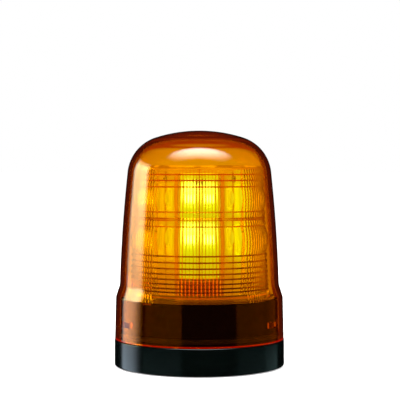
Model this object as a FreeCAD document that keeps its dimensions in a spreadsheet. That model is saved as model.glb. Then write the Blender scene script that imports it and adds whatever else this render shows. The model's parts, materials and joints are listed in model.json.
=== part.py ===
import FreeCAD, Part
import math
import os
import re
import Sketcher
from FreeCAD import Placement, Rotation, Vector

# Signal beacon of the 100 mm class: an amber globe held by a bayonet on a black base,
# with a six-sided lamp tower inside a clear prism lens.
# Millimetres and degrees; +Z is up, the origin is on the axis at the mounting plane and
# the front looks along -Y.

SIZES = {
    "base_radius": (50.0, "outside of the base ring"),
    "gasket_proud": (0.6, "height of the base rim above the mounting plane"),
    "ring_top": (16.0, "top of the base ring"),
    "base_edge": (0.8, "rounding of the base ring's lower edge"),
    "ring_edge": (0.5, "rounding of the base ring's upper edge"),
    "housing_wall": (3.0, "wall of the base ring and drum"),
    "drum_inset": (3.8, "step from the base ring in to the drum"),
    "deck_top": (39.0, "top of the drum"),
    "deck_thickness": (2.5, "drum top"),
    "deck_rim": (1.2, "rim that stands round the lens on the drum top"),
    "boss_radius": (6.0, "boss around each mounting insert"),
    "insert_setback": (5.2, "drum bore to the mounting hole circle"),
    "insert_radius": (3.5, "outside of a mounting insert"),
    "insert_bore": (2.5, "bore of a mounting insert, M5"),
    "insert_length": (10.0, "length of a mounting insert"),
    "bolt_clearance": (0.8, "radial room around a mounting bolt"),
    "plate_gap": (0.3, "gap around the bottom plate"),
    "plate_thickness": (3.0, "bottom plate"),
    "gasket_thickness": (2.6, "mounting gasket"),
    "gasket_width": (18.0, "radial width of the mounting gasket"),
    "plate_screw_radius": (1.5, "shank of a bottom plate screw"),
    "plate_screw_head": (2.9, "head of a bottom plate screw"),
    "plate_screw_head_height": (1.6, "head of a bottom plate screw"),
    "plate_screw_grip": (8.0, "bottom plate screw in its post"),
    "pilot_gap": (0.1, "radial room between a screw and its hole"),
    "screw_round": (0.4, "rounding of a screw head"),
    "drive_share": (0.6, "reach of a cross recess against the radius of its screw head"),
    "drive_slot": (0.3, "width of a cross recess against the radius of its screw head"),
    "drive_depth": (0.5, "depth of a cross recess against the height of its screw head"),
    "entry_radius": (8.0, "cable entry hole in the bottom plate"),
    "grommet_lip": (2.5, "lip of the grommet beyond its hole"),
    "grommet_lip_height": (1.6, "height of each grommet lip"),
    "cable_bore": (4.0, "radius of the grommet's cable bore"),
    "seal_section": (1.3, "section radius of the globe seal"),
    "seal_rise": (3.4, "seal centre above the base ring"),
    "seal_gap": (0.1, "room around the seal in its groove"),
    "skirt_inset": (0.2, "base ring to the globe's lower rim"),
    "skirt_draft": (0.6, "globe skirt, rim radius less shoulder radius"),
    "globe_gap": (0.3, "base ring to the globe's lower rim, upwards"),
    "globe_wall": (2.6, "wall of the globe"),
    "shoulder_height": (40.7, "start of the globe's shoulder"),
    "neck_height": (47.8, "end of the globe's shoulder"),
    "neck_inset": (2.3, "shoulder radius less neck radius"),
    "shoulder_round": (3.0, "rounding at the top of the skirt"),
    "neck_round": (6.0, "rounding at the foot of the dome"),
    "dome_inset": (4.6, "neck radius less radius at the top of the dome wall"),
    "bow_radius": (900.0, "bow of the dome wall"),
    "corner_radius": (24.0, "dome corner"),
    "crown_radius": (84.5, "dome crown"),
    "globe_height": (138.3, "top of the globe"),
    "lug_rise": (8.4, "globe rim to the underside of a bayonet lug"),
    "lug_height": (3.2, "bayonet lug"),
    "lug_reach": (1.2, "bayonet lug, into the drum"),
    "lug_angle": (9.0, "width of a bayonet lug, degrees"),
    "lug_gap": (0.4, "room around a bayonet lug"),
    "lug_gap_angle": (0.5, "room beside a bayonet lug, degrees"),
    "twist": (20.0, "turn that frees the globe, degrees"),
    "lens_wall": (3.2, "prism lens, wall to the ring tips"),
    "lens_foot_radius": (41.0, "prism lens at its lowest ring"),
    "lens_lean": (3.0, "prism lens, lowest ring radius less top ring radius"),
    "lens_foot": (45.2, "lowest prism ring"),
    "lens_head": (114.0, "highest prism ring"),
    "lens_crown": (3.6, "lens top above the highest ring"),
    "lens_cover": (2.0, "thickness of the lens top"),
    "lens_round": (2.0, "rounding of the lens top"),
    "flange_radius": (44.3, "flange of the prism lens"),
    "flange_height": (2.2, "flange of the prism lens"),
    "lip_height": (1.7, "raised lip on the lens flange"),
    "lip_width": (1.1, "raised lip on the lens flange"),
    "lip_angle": (61.0, "length of each raised lip, degrees"),
    "upper_belt": (98.45, "centre of the upper lens belt"),
    "upper_belt_height": (13.4, "height of the upper lens belt"),
    "lower_belt": (74.85, "centre of the lower lens belt"),
    "lower_belt_height": (15.8, "height of the lower lens belt"),
    "belt_radius": (17.0, "curve of both lens belts"),
    "ring_height": (3.6, "prism ring next to a belt"),
    "ring_ratio": (0.93, "each prism ring against the one before it"),
    "ring_depth": (1.1, "depth of a prism ring"),
    "ring_draft": (0.8, "height of the step between prism rings"),
    "flute_depth": (0.26, "flute in the lens bore"),
    "flute_share": (0.94, "width of a flute against the pitch of the flutes"),
    "flute_sector": (33.0, "first to last flute before each lamp board, degrees"),
    "lens_screw_ring": (42.85, "circle of the lens screws"),
    "lens_screw_radius": (0.8, "shank of a lens screw"),
    "lens_screw_head": (1.4, "head of a lens screw"),
    "lens_screw_head_height": (1.2, "head of a lens screw"),
    "lens_screw_grip": (1.7, "lens screw below the flange"),
    "board_radius": (31.0, "driver board"),
    "board_thickness": (1.6, "every circuit board"),
    "board_drop": (8.5, "deck underside to the driver board"),
    "post_radius": (3.2, "post between deck and driver board"),
    "post_setback": (4.6, "driver board edge to a post"),
    "post_screw_radius": (1.1, "shank of a driver board or foot screw"),
    "post_screw_head": (2.2, "head of a driver board or foot screw"),
    "post_screw_head_height": (1.6, "head of a driver board or foot screw"),
    "board_screw_grip": (3.6, "driver board screw in its post"),
    "foot_screw_grip": (4.2, "foot screw in its post"),
    "terminal_pitch": (5.0, "pole pitch of the terminal block"),
    "terminal_depth": (12.0, "front to back of the terminal block"),
    "terminal_height": (12.5, "height of the terminal block"),
    "terminal_forward": (14.0, "axis to the middle of the terminal block"),
    "terminal_cheek": (0.5, "terminal block beyond its end poles"),
    "wire_hole": (1.4, "wire entry of a pole"),
    "wire_hole_depth": (8.0, "wire entry of a pole"),
    "pin_radius": (0.45, "solder pins and link pins"),
    "pin_gap": (0.1, "room around each pin"),
    "button_width": (3.0, "release button, stem"),
    "button_depth": (3.6, "release button, stem"),
    "button_step": (0.4, "release button, shoulder beyond the stem"),
    "button_shoulder": (1.4, "height of the release button's shoulder"),
    "button_proud": (1.6, "release button below the terminal block"),
    "button_travel": (1.2, "press of a release button"),
    "button_gap": (0.15, "room around a release button"),
    "mouth_depth": (2.0, "wall that keeps a release button in"),
    "chamber_height": (7.0, "button chamber above that wall"),
    "spring_radius": (1.1, "mean radius of a button spring"),
    "spring_wire": (0.2, "wire radius of a button spring"),
    "capacitor_radius": (5.0, "smoothing capacitor"),
    "capacitor_height": (15.0, "smoothing capacitor"),
    "capacitor_edge": (0.8, "rounding of a smoothing capacitor's end"),
    "capacitor_spread": (17.0, "axis to a smoothing capacitor, sideways"),
    "choke_size": (10.0, "choke, square side"),
    "choke_height": (6.0, "choke"),
    "chip_length": (6.0, "driver chip"),
    "chip_width": (4.0, "driver chip"),
    "chip_height": (1.5, "driver chip"),
    "chip_pitch": (9.6, "driver chips, middle to middle"),
    "chip_forward": (8.0, "axis to the driver chips"),
    "foot_radius": (29.6, "foot of the lamp tower"),
    "foot_height": (4.0, "foot of the lamp tower"),
    "spigot_height": (6.0, "spigots of the foot and the cap in the column"),
    "spigot_gap": (0.15, "room around each spigot"),
    "column_flat": (20.9, "axis to an outer flat of the column"),
    "column_wall": (2.2, "wall of the column"),
    "column_height": (67.0, "heat column"),
    "lamp_board_width": (23.4, "lamp board"),
    "lamp_board_margin": (0.6, "top of the column above a lamp board"),
    "lamp_size": (5.0, "lamp package"),
    "lamp_height": (1.0, "lamp package"),
    "lamp_dome": (2.1, "lamp dome"),
    "lamp_dome_height": (1.4, "lamp dome"),
    "lamp_dome_round": (1.1, "rounding of a lamp dome"),
    "lamp_spread": (5.4, "middle of a lamp board to its lamps"),
    "stud_radius": (0.9, "shank of a lamp board screw"),
    "stud_head": (1.8, "head of a lamp board screw"),
    "stud_head_height": (1.1, "head of a lamp board screw"),
    "stud_margin": (4.0, "end of a lamp board to its screw"),
    "cap_overhang": (1.0, "tower cap beyond the lamp boards"),
    "cap_height": (2.4, "tower cap"),
    "tie_radius": (1.5, "tie screw of the tower"),
    "tie_head": (3.0, "head of the tie screw"),
    "tie_head_height": (1.6, "head of the tie screw"),
    "tie_grip": (7.0, "tie screw in the foot"),
    "link_pitch": (2.54, "link pins"),
    "link_back": (25.6, "axis to the link pins"),
    "link_width": (3.6, "link header, front to back"),
    "link_gap": (0.5, "room before and behind the link header"),
    "link_height": (5.0, "link header"),
    "link_tail": (1.2, "link pins beyond each board"),
}

# Sizes that follow from the ones above.
WORKED_OUT = {
    "drum_radius": "base_radius - drum_inset",
    "drum_bore": "drum_radius - housing_wall",
    "ring_bore": "base_radius - housing_wall",
    "ring_ceiling": "ring_top - housing_wall",
    "deck_underside": "deck_top - deck_thickness",
    "rim_top": "deck_top + deck_rim",
    "plate_top": "gasket_thickness + plate_thickness",
    "plate_radius": "ring_bore - plate_gap",
    "insert_ring": "drum_bore - insert_setback",
    "bolt_hole": "insert_bore + bolt_clearance",
    "plate_screw_ring": "drum_bore - plate_screw_head - plate_gap",
    "plate_post": "plate_screw_head + 4 * plate_gap",
    "seal_height": "ring_top + seal_rise",
    "seal_drop": "skirt_draft * (seal_height - globe_rim) / (shoulder_height - globe_rim)",
    "seal_ring": "skirt_radius - seal_drop - globe_wall - seal_gap - seal_section",
    "groove_radius": "seal_ring - seal_section - seal_gap",
    "globe_rim": "ring_top + globe_gap",
    "skirt_radius": "base_radius - skirt_inset",
    "shoulder_radius": "skirt_radius - skirt_draft",
    "neck_radius": "shoulder_radius - neck_inset",
    "dome_radius": "neck_radius - dome_inset",
    "globe_bore": "shoulder_radius - globe_wall",
    "lug_bottom": "globe_rim + lug_rise",
    "lug_tip": "drum_radius - lug_reach",
    "slot_radius": "lug_tip - lug_gap",
    "flange_top": "deck_top + flange_height",
    "lens_top": "lens_head + lens_crown",
    "board_top": "deck_underside - board_drop",
    "board_underside": "board_top - board_thickness",
    "post_ring": "board_radius - post_setback",
    "terminal_bottom": "board_underside - terminal_height",
    "chamber_bottom": "terminal_bottom + mouth_depth",
    "foot_top": "deck_top + foot_height",
    "link_top": "foot_top + board_thickness",
    "column_top": "foot_top + column_height",
    "lamp_board_top": "column_top - lamp_board_margin",
    "lamp_board_face": "column_flat + board_thickness",
    "cap_flat": "lamp_board_face + cap_overhang",
    "cap_top": "column_top + cap_height",
}

POLES = 4
FACES = 6
UPPER_RINGS = 3
LOWER_RINGS = 8
FLUTES = 11
SPRING_TURNS = 5
FRONT = 270
THIRDS = 3

doc = FreeCAD.newDocument("signal_beacon")
sheet = doc.addObject("Spreadsheet::Sheet", "Sizes")
for row, (alias, (number, meaning)) in enumerate(SIZES.items(), 1):
    sheet.set(f"A{row}", meaning)
    sheet.set(f"B{row}", str(number))
    sheet.setAlias(f"B{row}", alias)
doc.recompute()


def bound(expression):
    """The expression with every size's name pointed at its cell in the sheet."""

    def cell(match):
        word = match[0]
        if word in SIZES:
            return f"Sizes.{word}"
        if word in WORKED_OUT:
            return f"({bound(WORKED_OUT[word])})"
        return word

    return re.sub(r"[A-Za-z_]\w*", cell, str(expression))


def size(expression):
    """The number that an expression of sizes comes to now."""
    return float(sheet.evalExpression(bound(expression)))


def around(ring, angle):
    """The two coordinates, as expressions, of a place on a circle."""
    return f"({ring}) * cos({angle})", f"({ring}) * sin({angle})"


def new_body(label, turn=0):
    """An empty body, turned about the vertical axis."""
    body = doc.addObject("PartDesign::Body", label)
    body.Label = label
    body.AllowCompound = True
    body.Placement = Placement(Vector(), Rotation(Vector(0, 0, 1), turn))
    return body


def datum(body, role):
    """One of a body's own origin planes or axes."""
    return next(item for item in body.Origin.OriginFeatures if item.Role == role)


def flat_sketch(body, height):
    """A level sketch at a height."""
    sketch = body.newObject("Sketcher::SketchObject", f"{body.Label}_flat")
    sketch.AttachmentSupport = [(datum(body, "XY_Plane"), "")]
    sketch.MapMode = "FlatFace"
    sketch.setExpression("AttachmentOffset.Base.z", bound(height))
    return sketch


def upright_sketch(body, turn="0"):
    """A sketch in the plane of the vertical axis, turned about it; its x is the radius."""
    sketch = body.newObject("Sketcher::SketchObject", f"{body.Label}_upright")
    sketch.AttachmentSupport = [(datum(body, "XZ_Plane"), "")]
    sketch.MapMode = "FlatFace"
    sketch.AttachmentOffset = Placement(Vector(), Rotation(Vector(0, 1, 0), 1))
    sketch.setExpression("AttachmentOffset.Rotation.Angle", bound(turn))
    return sketch


def facing_sketch(body, forward):
    """An upright sketch that faces the front, at a distance before the axis."""
    sketch = body.newObject("Sketcher::SketchObject", f"{body.Label}_facing")
    sketch.AttachmentSupport = [(datum(body, "XZ_Plane"), "")]
    sketch.MapMode = "FlatFace"
    sketch.setExpression("AttachmentOffset.Base.z", bound(forward))
    return sketch


def tie(sketch, kind, expression, *places):
    """A constraint whose value is bound to an expression of sizes."""
    index = sketch.addConstraint(Sketcher.Constraint(kind, *places, size(expression)))
    name = f"{kind}_{index}"
    sketch.renameConstraint(index, name)
    sketch.setExpression(f"Constraints.{name}", bound(expression))


def pin_point(sketch, edge, end, x, y):
    """Ties one point of an edge to the sketch's origin by its two coordinates."""
    if abs(size(x)) < 1e-9:
        sketch.addConstraint(Sketcher.Constraint("PointOnObject", edge, end, -2))
    else:
        tie(sketch, "DistanceX", x, -1, 1, edge, end)
    if abs(size(y)) < 1e-9:
        sketch.addConstraint(Sketcher.Constraint("PointOnObject", edge, end, -1))
    else:
        tie(sketch, "DistanceY", y, -1, 1, edge, end)


def outline(sketch, corners):
    """A closed outline; a corner with a third value starts an arc of that radius."""
    first = sketch.GeometryCount
    places = [Vector(size(corner[0]), size(corner[1]), 0) for corner in corners]
    for n, corner in enumerate(corners):
        start = places[n]
        end = places[(n + 1) % len(places)]
        if len(corner) == 2:
            sketch.addGeometry(Part.LineSegment(start, end), False)
        else:
            chord = end - start
            radius = size(corner[2])
            rise = radius - math.sqrt(radius ** 2 - chord.Length ** 2 / 4)
            side = Vector(chord.y, -chord.x, 0).normalize()
            sketch.addGeometry(Part.Arc(start, start + chord / 2 + side * rise, end), False)
    for n, corner in enumerate(corners):
        before = first + (n - 1) % len(corners)
        sketch.addConstraint(Sketcher.Constraint("Coincident", before, 2, first + n, 1))
        pin_point(sketch, first + n, 1, corner[0], corner[1])
        if len(corner) == 3:
            tie(sketch, "Radius", corner[2], first + n)


def rectangle(sketch, width, depth, x="0", y="0"):
    """A rectangle about a place."""
    outline(sketch, [
        (f"{x} - ({width}) / 2", f"{y} - ({depth}) / 2"),
        (f"{x} + ({width}) / 2", f"{y} - ({depth}) / 2"),
        (f"{x} + ({width}) / 2", f"{y} + ({depth}) / 2"),
        (f"{x} - ({width}) / 2", f"{y} + ({depth}) / 2"),
    ])


def hexagon(sketch, flat):
    """A hexagon about the axis with one flat to the front."""
    outline(sketch, [around(f"({flat}) / cos(30)", 60 * n) for n in range(FACES)])


def circle(sketch, radius, x="0", y="0"):
    """A circle about a place."""
    middle = Vector(size(x), size(y), 0)
    edge = sketch.addGeometry(Part.Circle(middle, Vector(0, 0, 1), size(radius)), False)
    pin_point(sketch, edge, 3, x, y)
    tie(sketch, "Radius", radius, edge)


def feature(body, kind, sketch, **expressions):
    """A feature made from a sketch, with its lengths and angles bound to sizes."""
    made = body.newObject(f"PartDesign::{kind}", f"{body.Label}_{kind.lower()}")
    made.Profile = sketch
    for name, expression in expressions.items():
        made.setExpression(name, bound(expression))
    return made


def pad(body, sketch, length, down=False):
    """Material raised from a sketch."""
    made = feature(body, "Pad", sketch, Length=length)
    made.Reversed = down
    doc.recompute()
    return made


def pocket(body, sketch, length, up=False):
    """A recess cut from a sketch; it must take material away."""
    before = body.Tip.Shape.Volume
    made = feature(body, "Pocket", sketch, Length=length)
    made.Reversed = up
    doc.recompute()
    if made.Shape.Volume > before - 1e-6:
        raise RuntimeError(f"{made.Label} cuts nothing")
    return made


def spin(body, sketch, angle="360"):
    """Material turned about the vertical axis."""
    made = feature(body, "Revolution", sketch, Angle=angle)
    made.ReferenceAxis = (sketch, ["V_Axis"])
    doc.recompute()
    return made


def groove(body, sketch, angle="360"):
    """A turned recess about the vertical axis; it must take material away."""
    before = body.Tip.Shape.Volume
    made = feature(body, "Groove", sketch, Angle=angle)
    made.ReferenceAxis = (sketch, ["V_Axis"])
    doc.recompute()
    if made.Shape.Volume > before - 1e-6:
        raise RuntimeError(f"{made.Label} cuts nothing")
    return made


def polar(body, originals, count):
    """Features repeated evenly about the vertical axis."""
    made = body.newObject("PartDesign::PolarPattern", f"{body.Label}_pattern")
    made.Originals = originals
    made.Axis = (datum(body, "Z_Axis"), [""])
    made.Angle = 360
    made.Occurrences = count
    body.Tip = made
    doc.recompute()
    return made


def ring_at(ring, height):
    """A test for the circle of a radius at a height."""
    wanted = (size(ring), size(height))
    return lambda curve: math.dist((curve.Radius, curve.Center.z), wanted) < 1e-3


def rounded(body, radius, *tests):
    """Rounds the circular edges that pass any of the tests."""
    base = body.Tip
    names = []
    for n, edge in enumerate(base.Shape.Edges, 1):
        if edge.Degenerated or not isinstance(edge.Curve, Part.Circle):
            continue
        if any(test(edge.Curve) for test in tests):
            names.append(f"Edge{n}")
    made = body.newObject("PartDesign::Fillet", f"{body.Label}_fillet")
    made.Base = (base, names)
    made.setExpression("Radius", bound(radius))
    doc.recompute()
    return made


def round_thirds(sketch, radius, ring, start):
    """Three circles evenly about the axis."""
    for n in range(THIRDS):
        circle(sketch, radius, *around(ring, start + 120 * n))


def drive(body, plane, face, head, head_height, places, up=False):
    """Cross recesses in the faces of screw heads: two crossed bars cut at each place."""
    reach = f"2 * drive_share * {head}"
    slot = f"drive_slot * {head}"
    cuts = []
    for width, depth in ((reach, slot), (slot, reach)):
        bars = plane(body, face)
        for place in places:
            rectangle(bars, width, depth, *place)
        cuts.append(pocket(body, bars, f"drive_depth * {head_height}", up=up))
    return cuts


def screws(label, ring, start, seat, head, head_height, shank, grip, up=False):
    """Three screws about the axis: rounded heads with cross recesses on a seat, and their shanks."""
    body = new_body(label)
    heads = flat_sketch(body, seat)
    round_thirds(heads, head, ring, start)
    pad(body, heads, head_height, down=up)
    face = f"{seat} - {head_height}" if up else f"{seat} + {head_height}"
    rounded(body, "screw_round", ring_at(head, face))
    places = [around(ring, start + 120 * n) for n in range(THIRDS)]
    drive(body, flat_sketch, face, head, head_height, places, up)
    shanks = flat_sketch(body, seat)
    round_thirds(shanks, shank, ring, start)
    pad(body, shanks, grip, down=not up)
    return body


LINK_ROOM = f"{POLES + 1} * link_pitch"
INSERT_START = 90
PLATE_SCREW_START = 30
POST_START = 30
LENS_SCREW_START = 234
LIP_START = "252.5"
LUG_START = 90

# Black base: stepped ring and drum, closed on top by the deck.
housing = new_body("base_housing")
profile = upright_sketch(housing)
outline(profile, [
    ("ring_bore", "gasket_proud"),
    ("base_radius", "gasket_proud"),
    ("base_radius", "ring_top"),
    ("drum_radius", "ring_top"),
    ("drum_radius", "seal_height - seal_section - seal_gap"),
    ("groove_radius", "seal_height - seal_section - seal_gap"),
    ("groove_radius", "seal_height + seal_section + seal_gap"),
    ("drum_radius", "seal_height + seal_section + seal_gap"),
    ("drum_radius", "rim_top"),
    ("slot_radius", "rim_top"),
    ("slot_radius", "deck_top"),
    ("0", "deck_top"),
    ("0", "deck_underside"),
    ("drum_bore", "deck_underside"),
    ("drum_bore", "ring_ceiling"),
    ("ring_bore", "ring_ceiling"),
])
spin(housing, profile)
rounded(housing, "base_edge", ring_at("base_radius", "gasket_proud"))
rounded(housing, "ring_edge", ring_at("base_radius", "ring_top"), ring_at("drum_radius", "rim_top"))
bosses = flat_sketch(housing, "plate_top")
round_thirds(bosses, "boss_radius", "insert_ring", INSERT_START)
round_thirds(bosses, "plate_post", "plate_screw_ring", PLATE_SCREW_START)
pad(housing, bosses, "deck_underside + deck_thickness / 2 - plate_top")
posts = flat_sketch(housing, "board_top")
round_thirds(posts, "post_radius", "post_ring", POST_START)
pad(housing, posts, "board_drop + deck_thickness / 2")
holes = flat_sketch(housing, "plate_top")
round_thirds(holes, "insert_radius + pilot_gap / 2", "insert_ring", INSERT_START)
pocket(housing, holes, "insert_length", up=True)
holes = flat_sketch(housing, "plate_top")
round_thirds(holes, "plate_screw_radius + pilot_gap", "plate_screw_ring", PLATE_SCREW_START)
pocket(housing, holes, "plate_screw_grip + pilot_gap", up=True)
holes = flat_sketch(housing, "deck_top")
round_thirds(holes, "post_screw_radius + pilot_gap", "post_ring", POST_START)
rectangle(holes, LINK_ROOM, "link_width + 2 * link_gap", "0", "link_back")
pocket(housing, holes, "deck_top - board_top")
holes = flat_sketch(housing, "deck_top")
round_thirds(holes, "lens_screw_radius + pilot_gap", "lens_screw_ring", LENS_SCREW_START)
pocket(housing, holes, "lens_screw_grip + pilot_gap")
slot_start = f"{LUG_START} - lug_angle / 2 - lug_gap_angle"
channel = upright_sketch(housing, slot_start)
outline(channel, [
    ("slot_radius", "lug_bottom - lug_gap"),
    ("base_radius", "lug_bottom - lug_gap"),
    ("base_radius", "lug_bottom + lug_height + lug_gap"),
    ("slot_radius", "lug_bottom + lug_height + lug_gap"),
])
channel_cut = groove(housing, channel, "twist + lug_angle + 2 * lug_gap_angle")
entry = upright_sketch(housing, f"{slot_start} + twist")
outline(entry, [
    ("slot_radius", "lug_bottom"),
    ("base_radius", "lug_bottom"),
    ("base_radius", "rim_top + lug_gap"),
    ("slot_radius", "rim_top + lug_gap"),
])
entry_cut = groove(housing, entry, "lug_angle + 2 * lug_gap_angle")
polar(housing, [channel_cut, entry_cut], THIRDS)

# Underside: bottom plate with the cable entry, its screws, gasket, inserts and grommet.
plate = new_body("bottom_plate")
disc = flat_sketch(plate, "gasket_thickness")
circle(disc, "plate_radius")
circle(disc, "entry_radius")
round_thirds(disc, "bolt_hole", "insert_ring", INSERT_START)
round_thirds(disc, "plate_screw_radius + pilot_gap", "plate_screw_ring", PLATE_SCREW_START)
pad(plate, disc, "plate_thickness")
recesses = flat_sketch(plate, "gasket_thickness")
round_thirds(recesses, "plate_screw_head + pilot_gap", "plate_screw_ring", PLATE_SCREW_START)
pocket(plate, recesses, "plate_screw_head_height", up=True)

screws(
    "plate_screws", "plate_screw_ring", PLATE_SCREW_START,
    "gasket_thickness + plate_screw_head_height", "plate_screw_head", "plate_screw_head_height",
    "plate_screw_radius", "plate_thickness - plate_screw_head_height + plate_screw_grip", up=True,
)

gasket = new_body("base_gasket")
ring = flat_sketch(gasket, "0")
circle(ring, "plate_radius")
circle(ring, "plate_radius - gasket_width")
round_thirds(ring, "bolt_hole", "insert_ring", INSERT_START)
pad(gasket, ring, "gasket_thickness")

inserts = new_body("mount_inserts")
sleeves = flat_sketch(inserts, "plate_top")
round_thirds(sleeves, "insert_radius", "insert_ring", INSERT_START)
round_thirds(sleeves, "insert_bore", "insert_ring", INSERT_START)
pad(inserts, sleeves, "insert_length")

grommet = new_body("cable_grommet")
section = upright_sketch(grommet)
outline(section, [
    ("cable_bore", "gasket_thickness - grommet_lip_height"),
    ("entry_radius + grommet_lip", "gasket_thickness - grommet_lip_height"),
    ("entry_radius + grommet_lip", "gasket_thickness"),
    ("entry_radius - pilot_gap", "gasket_thickness"),
    ("entry_radius - pilot_gap", "plate_top"),
    ("entry_radius + grommet_lip", "plate_top"),
    ("entry_radius + grommet_lip", "plate_top + grommet_lip_height"),
    ("cable_bore", "plate_top + grommet_lip_height"),
])
spin(grommet, section)

seal = doc.addObject("Part::Torus", "globe_seal")
seal.Label = "globe_seal"
seal.setExpression("Radius1", bound("seal_ring"))
seal.setExpression("Radius2", bound("seal_section"))
seal.setExpression("Placement.Base.z", bound("seal_height"))

# Driver board on three posts under the deck, with its parts.
PIN_ROW = [f"{n - (POLES - 1) / 2} * terminal_pitch" for n in range(POLES)]
LINK_ROW = [f"{n - (POLES - 1) / 2} * link_pitch" for n in range(POLES)]
BUTTON_LINE = "-terminal_forward - terminal_depth / 4"
WIRE_LINE = "-terminal_forward + terminal_depth / 4"

board = new_body("driver_board")
disc = flat_sketch(board, "board_underside")
circle(disc, "board_radius")
round_thirds(disc, "post_screw_radius + pilot_gap", "post_ring", POST_START)
for x in PIN_ROW:
    circle(disc, "pin_radius + pin_gap", x, WIRE_LINE)
for x in LINK_ROW:
    circle(disc, "pin_radius + pin_gap", x, "link_back")
pad(board, disc, "board_thickness")

screws(
    "board_screws", "post_ring", POST_START, "board_underside",
    "post_screw_head", "post_screw_head_height",
    "post_screw_radius", "board_thickness + board_screw_grip", up=True,
)

capacitors = new_body("capacitors")
cans = flat_sketch(capacitors, "board_underside")
circle(cans, "capacitor_radius", "capacitor_spread")
circle(cans, "capacitor_radius", "-capacitor_spread")
pad(capacitors, cans, "capacitor_height", down=True)
rounded(capacitors, "capacitor_edge", ring_at("capacitor_radius", "board_underside - capacitor_height"))

choke = new_body("choke")
block = flat_sketch(choke, "board_underside")
rectangle(block, "choke_size", "choke_size", "0", "choke_size")
pad(choke, block, "choke_height", down=True)

chips = new_body("driver_chips")
row = flat_sketch(chips, "board_top")
for n in range(THIRDS):
    rectangle(row, "chip_length", "chip_width", f"{n - 1} * chip_pitch", "-chip_forward")
pad(chips, row, "chip_height")

# Terminal block: four poles, each with a wire entry and a sprung release button.
terminal = new_body("terminal_block")
block = flat_sketch(terminal, "terminal_bottom")
rectangle(block, f"{POLES} * terminal_pitch + 2 * terminal_cheek", "terminal_depth", "0", "-terminal_forward")
pad(terminal, block, "terminal_height")
mouths = flat_sketch(terminal, "terminal_bottom")
chambers = flat_sketch(terminal, "chamber_bottom")
wires = flat_sketch(terminal, "terminal_bottom")
tails = flat_sketch(terminal, "board_underside")
for x in PIN_ROW:
    rectangle(mouths, "button_width + 2 * button_gap", "button_depth + 2 * button_gap", x, BUTTON_LINE)
    rectangle(
        chambers, "button_width + 2 * button_step + 2 * button_gap",
        "button_depth + 2 * button_step + 2 * button_gap", x, BUTTON_LINE,
    )
    circle(wires, "wire_hole", x, WIRE_LINE)
    circle(tails, "pin_radius + pin_gap", x, WIRE_LINE)
pocket(terminal, mouths, "mouth_depth", up=True)
pocket(terminal, chambers, "chamber_height", up=True)
pocket(terminal, wires, "wire_hole_depth", up=True)
pocket(terminal, tails, "terminal_height - wire_hole_depth")

pins = new_body("terminal_pins")
row = flat_sketch(pins, "board_top + link_tail")
for x in PIN_ROW:
    circle(row, "pin_radius", x, WIRE_LINE)
pad(pins, row, "link_tail + board_thickness + terminal_height - wire_hole_depth", down=True)

for n, x in enumerate(PIN_ROW, 1):
    button = new_body(f"release_button_{n}")
    stem = flat_sketch(button, "terminal_bottom - button_proud")
    rectangle(stem, "button_width", "button_depth", x, BUTTON_LINE)
    pad(button, stem, "button_proud + mouth_depth")
    shoulder = flat_sketch(button, "chamber_bottom")
    rectangle(
        shoulder, "button_width + 2 * button_step", "button_depth + 2 * button_step", x, BUTTON_LINE,
    )
    pad(button, shoulder, "button_shoulder")
    spring = new_body(f"button_spring_{n}")
    spring.setExpression("Placement.Base.x", bound(x))
    spring.setExpression("Placement.Base.y", bound(BUTTON_LINE))
    wire = upright_sketch(spring)
    circle(wire, "spring_wire", "spring_radius", "chamber_bottom + button_shoulder + spring_wire + pin_gap / 2")
    coil = feature(spring, "AdditiveHelix", wire)
    coil.ReferenceAxis = (wire, ["V_Axis"])
    coil.Mode = "height-turns-angle"
    coil.setExpression("Height", bound("chamber_height - button_shoulder - 2 * spring_wire - pin_gap"))
    coil.Turns = SPRING_TURNS
    doc.recompute()

# Link from the driver board up to the lamp tower.
header = new_body("link_header")
block = flat_sketch(header, "board_top")
rectangle(block, f"{POLES} * link_pitch", "link_width", "0", "link_back")
for x in LINK_ROW:
    circle(block, "pin_radius + pin_gap", x, "link_back")
pad(header, block, "link_height")

pins = new_body("link_pins")
row = flat_sketch(pins, "board_underside - link_tail")
for x in LINK_ROW:
    circle(row, "pin_radius", x, "link_back")
pad(pins, row, "link_top + 2 * link_tail - board_underside")

# Lamp tower: foot, link board, column, six lamp boards with their lamps, cap and tie screw.
foot = new_body("tower_foot")
disc = flat_sketch(foot, "deck_top")
circle(disc, "foot_radius")
round_thirds(disc, "post_screw_radius + pilot_gap", "post_ring", POST_START)
rectangle(disc, LINK_ROOM, "link_width", "0", "link_back")
pad(foot, disc, "foot_height")
spigot = flat_sketch(foot, "foot_top")
hexagon(spigot, "column_flat - column_wall - spigot_gap")
pad(foot, spigot, "spigot_height")
hole = flat_sketch(foot, "foot_top + spigot_height")
circle(hole, "tie_radius + pilot_gap")
pocket(foot, hole, "tie_grip + pilot_gap")

link = new_body("link_board")
disc = flat_sketch(link, "foot_top")
circle(disc, "foot_radius")
hexagon(disc, "column_flat + spigot_gap")
round_thirds(disc, "post_screw_radius + pilot_gap", "post_ring", POST_START)
for x in LINK_ROW:
    circle(disc, "pin_radius + pin_gap", x, "link_back")
pad(link, disc, "board_thickness")

screws(
    "foot_screws", "post_ring", POST_START, "link_top",
    "post_screw_head", "post_screw_head_height",
    "post_screw_radius", "board_thickness + foot_height + foot_screw_grip",
)

STUD_ROWS = ["link_top + stud_margin", "lamp_board_top - stud_margin"]
LAMP_ROWS = ["lower_belt", "upper_belt"]

column = new_body("heat_column")
tube = flat_sketch(column, "foot_top")
hexagon(tube, "column_flat")
hexagon(tube, "column_flat - column_wall")
pad(column, tube, "column_height")
holes = facing_sketch(column, "column_flat")
for z in STUD_ROWS:
    circle(holes, "stud_radius + pilot_gap", "0", z)
polar(column, [pocket(column, holes, "column_wall")], FACES)

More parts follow.
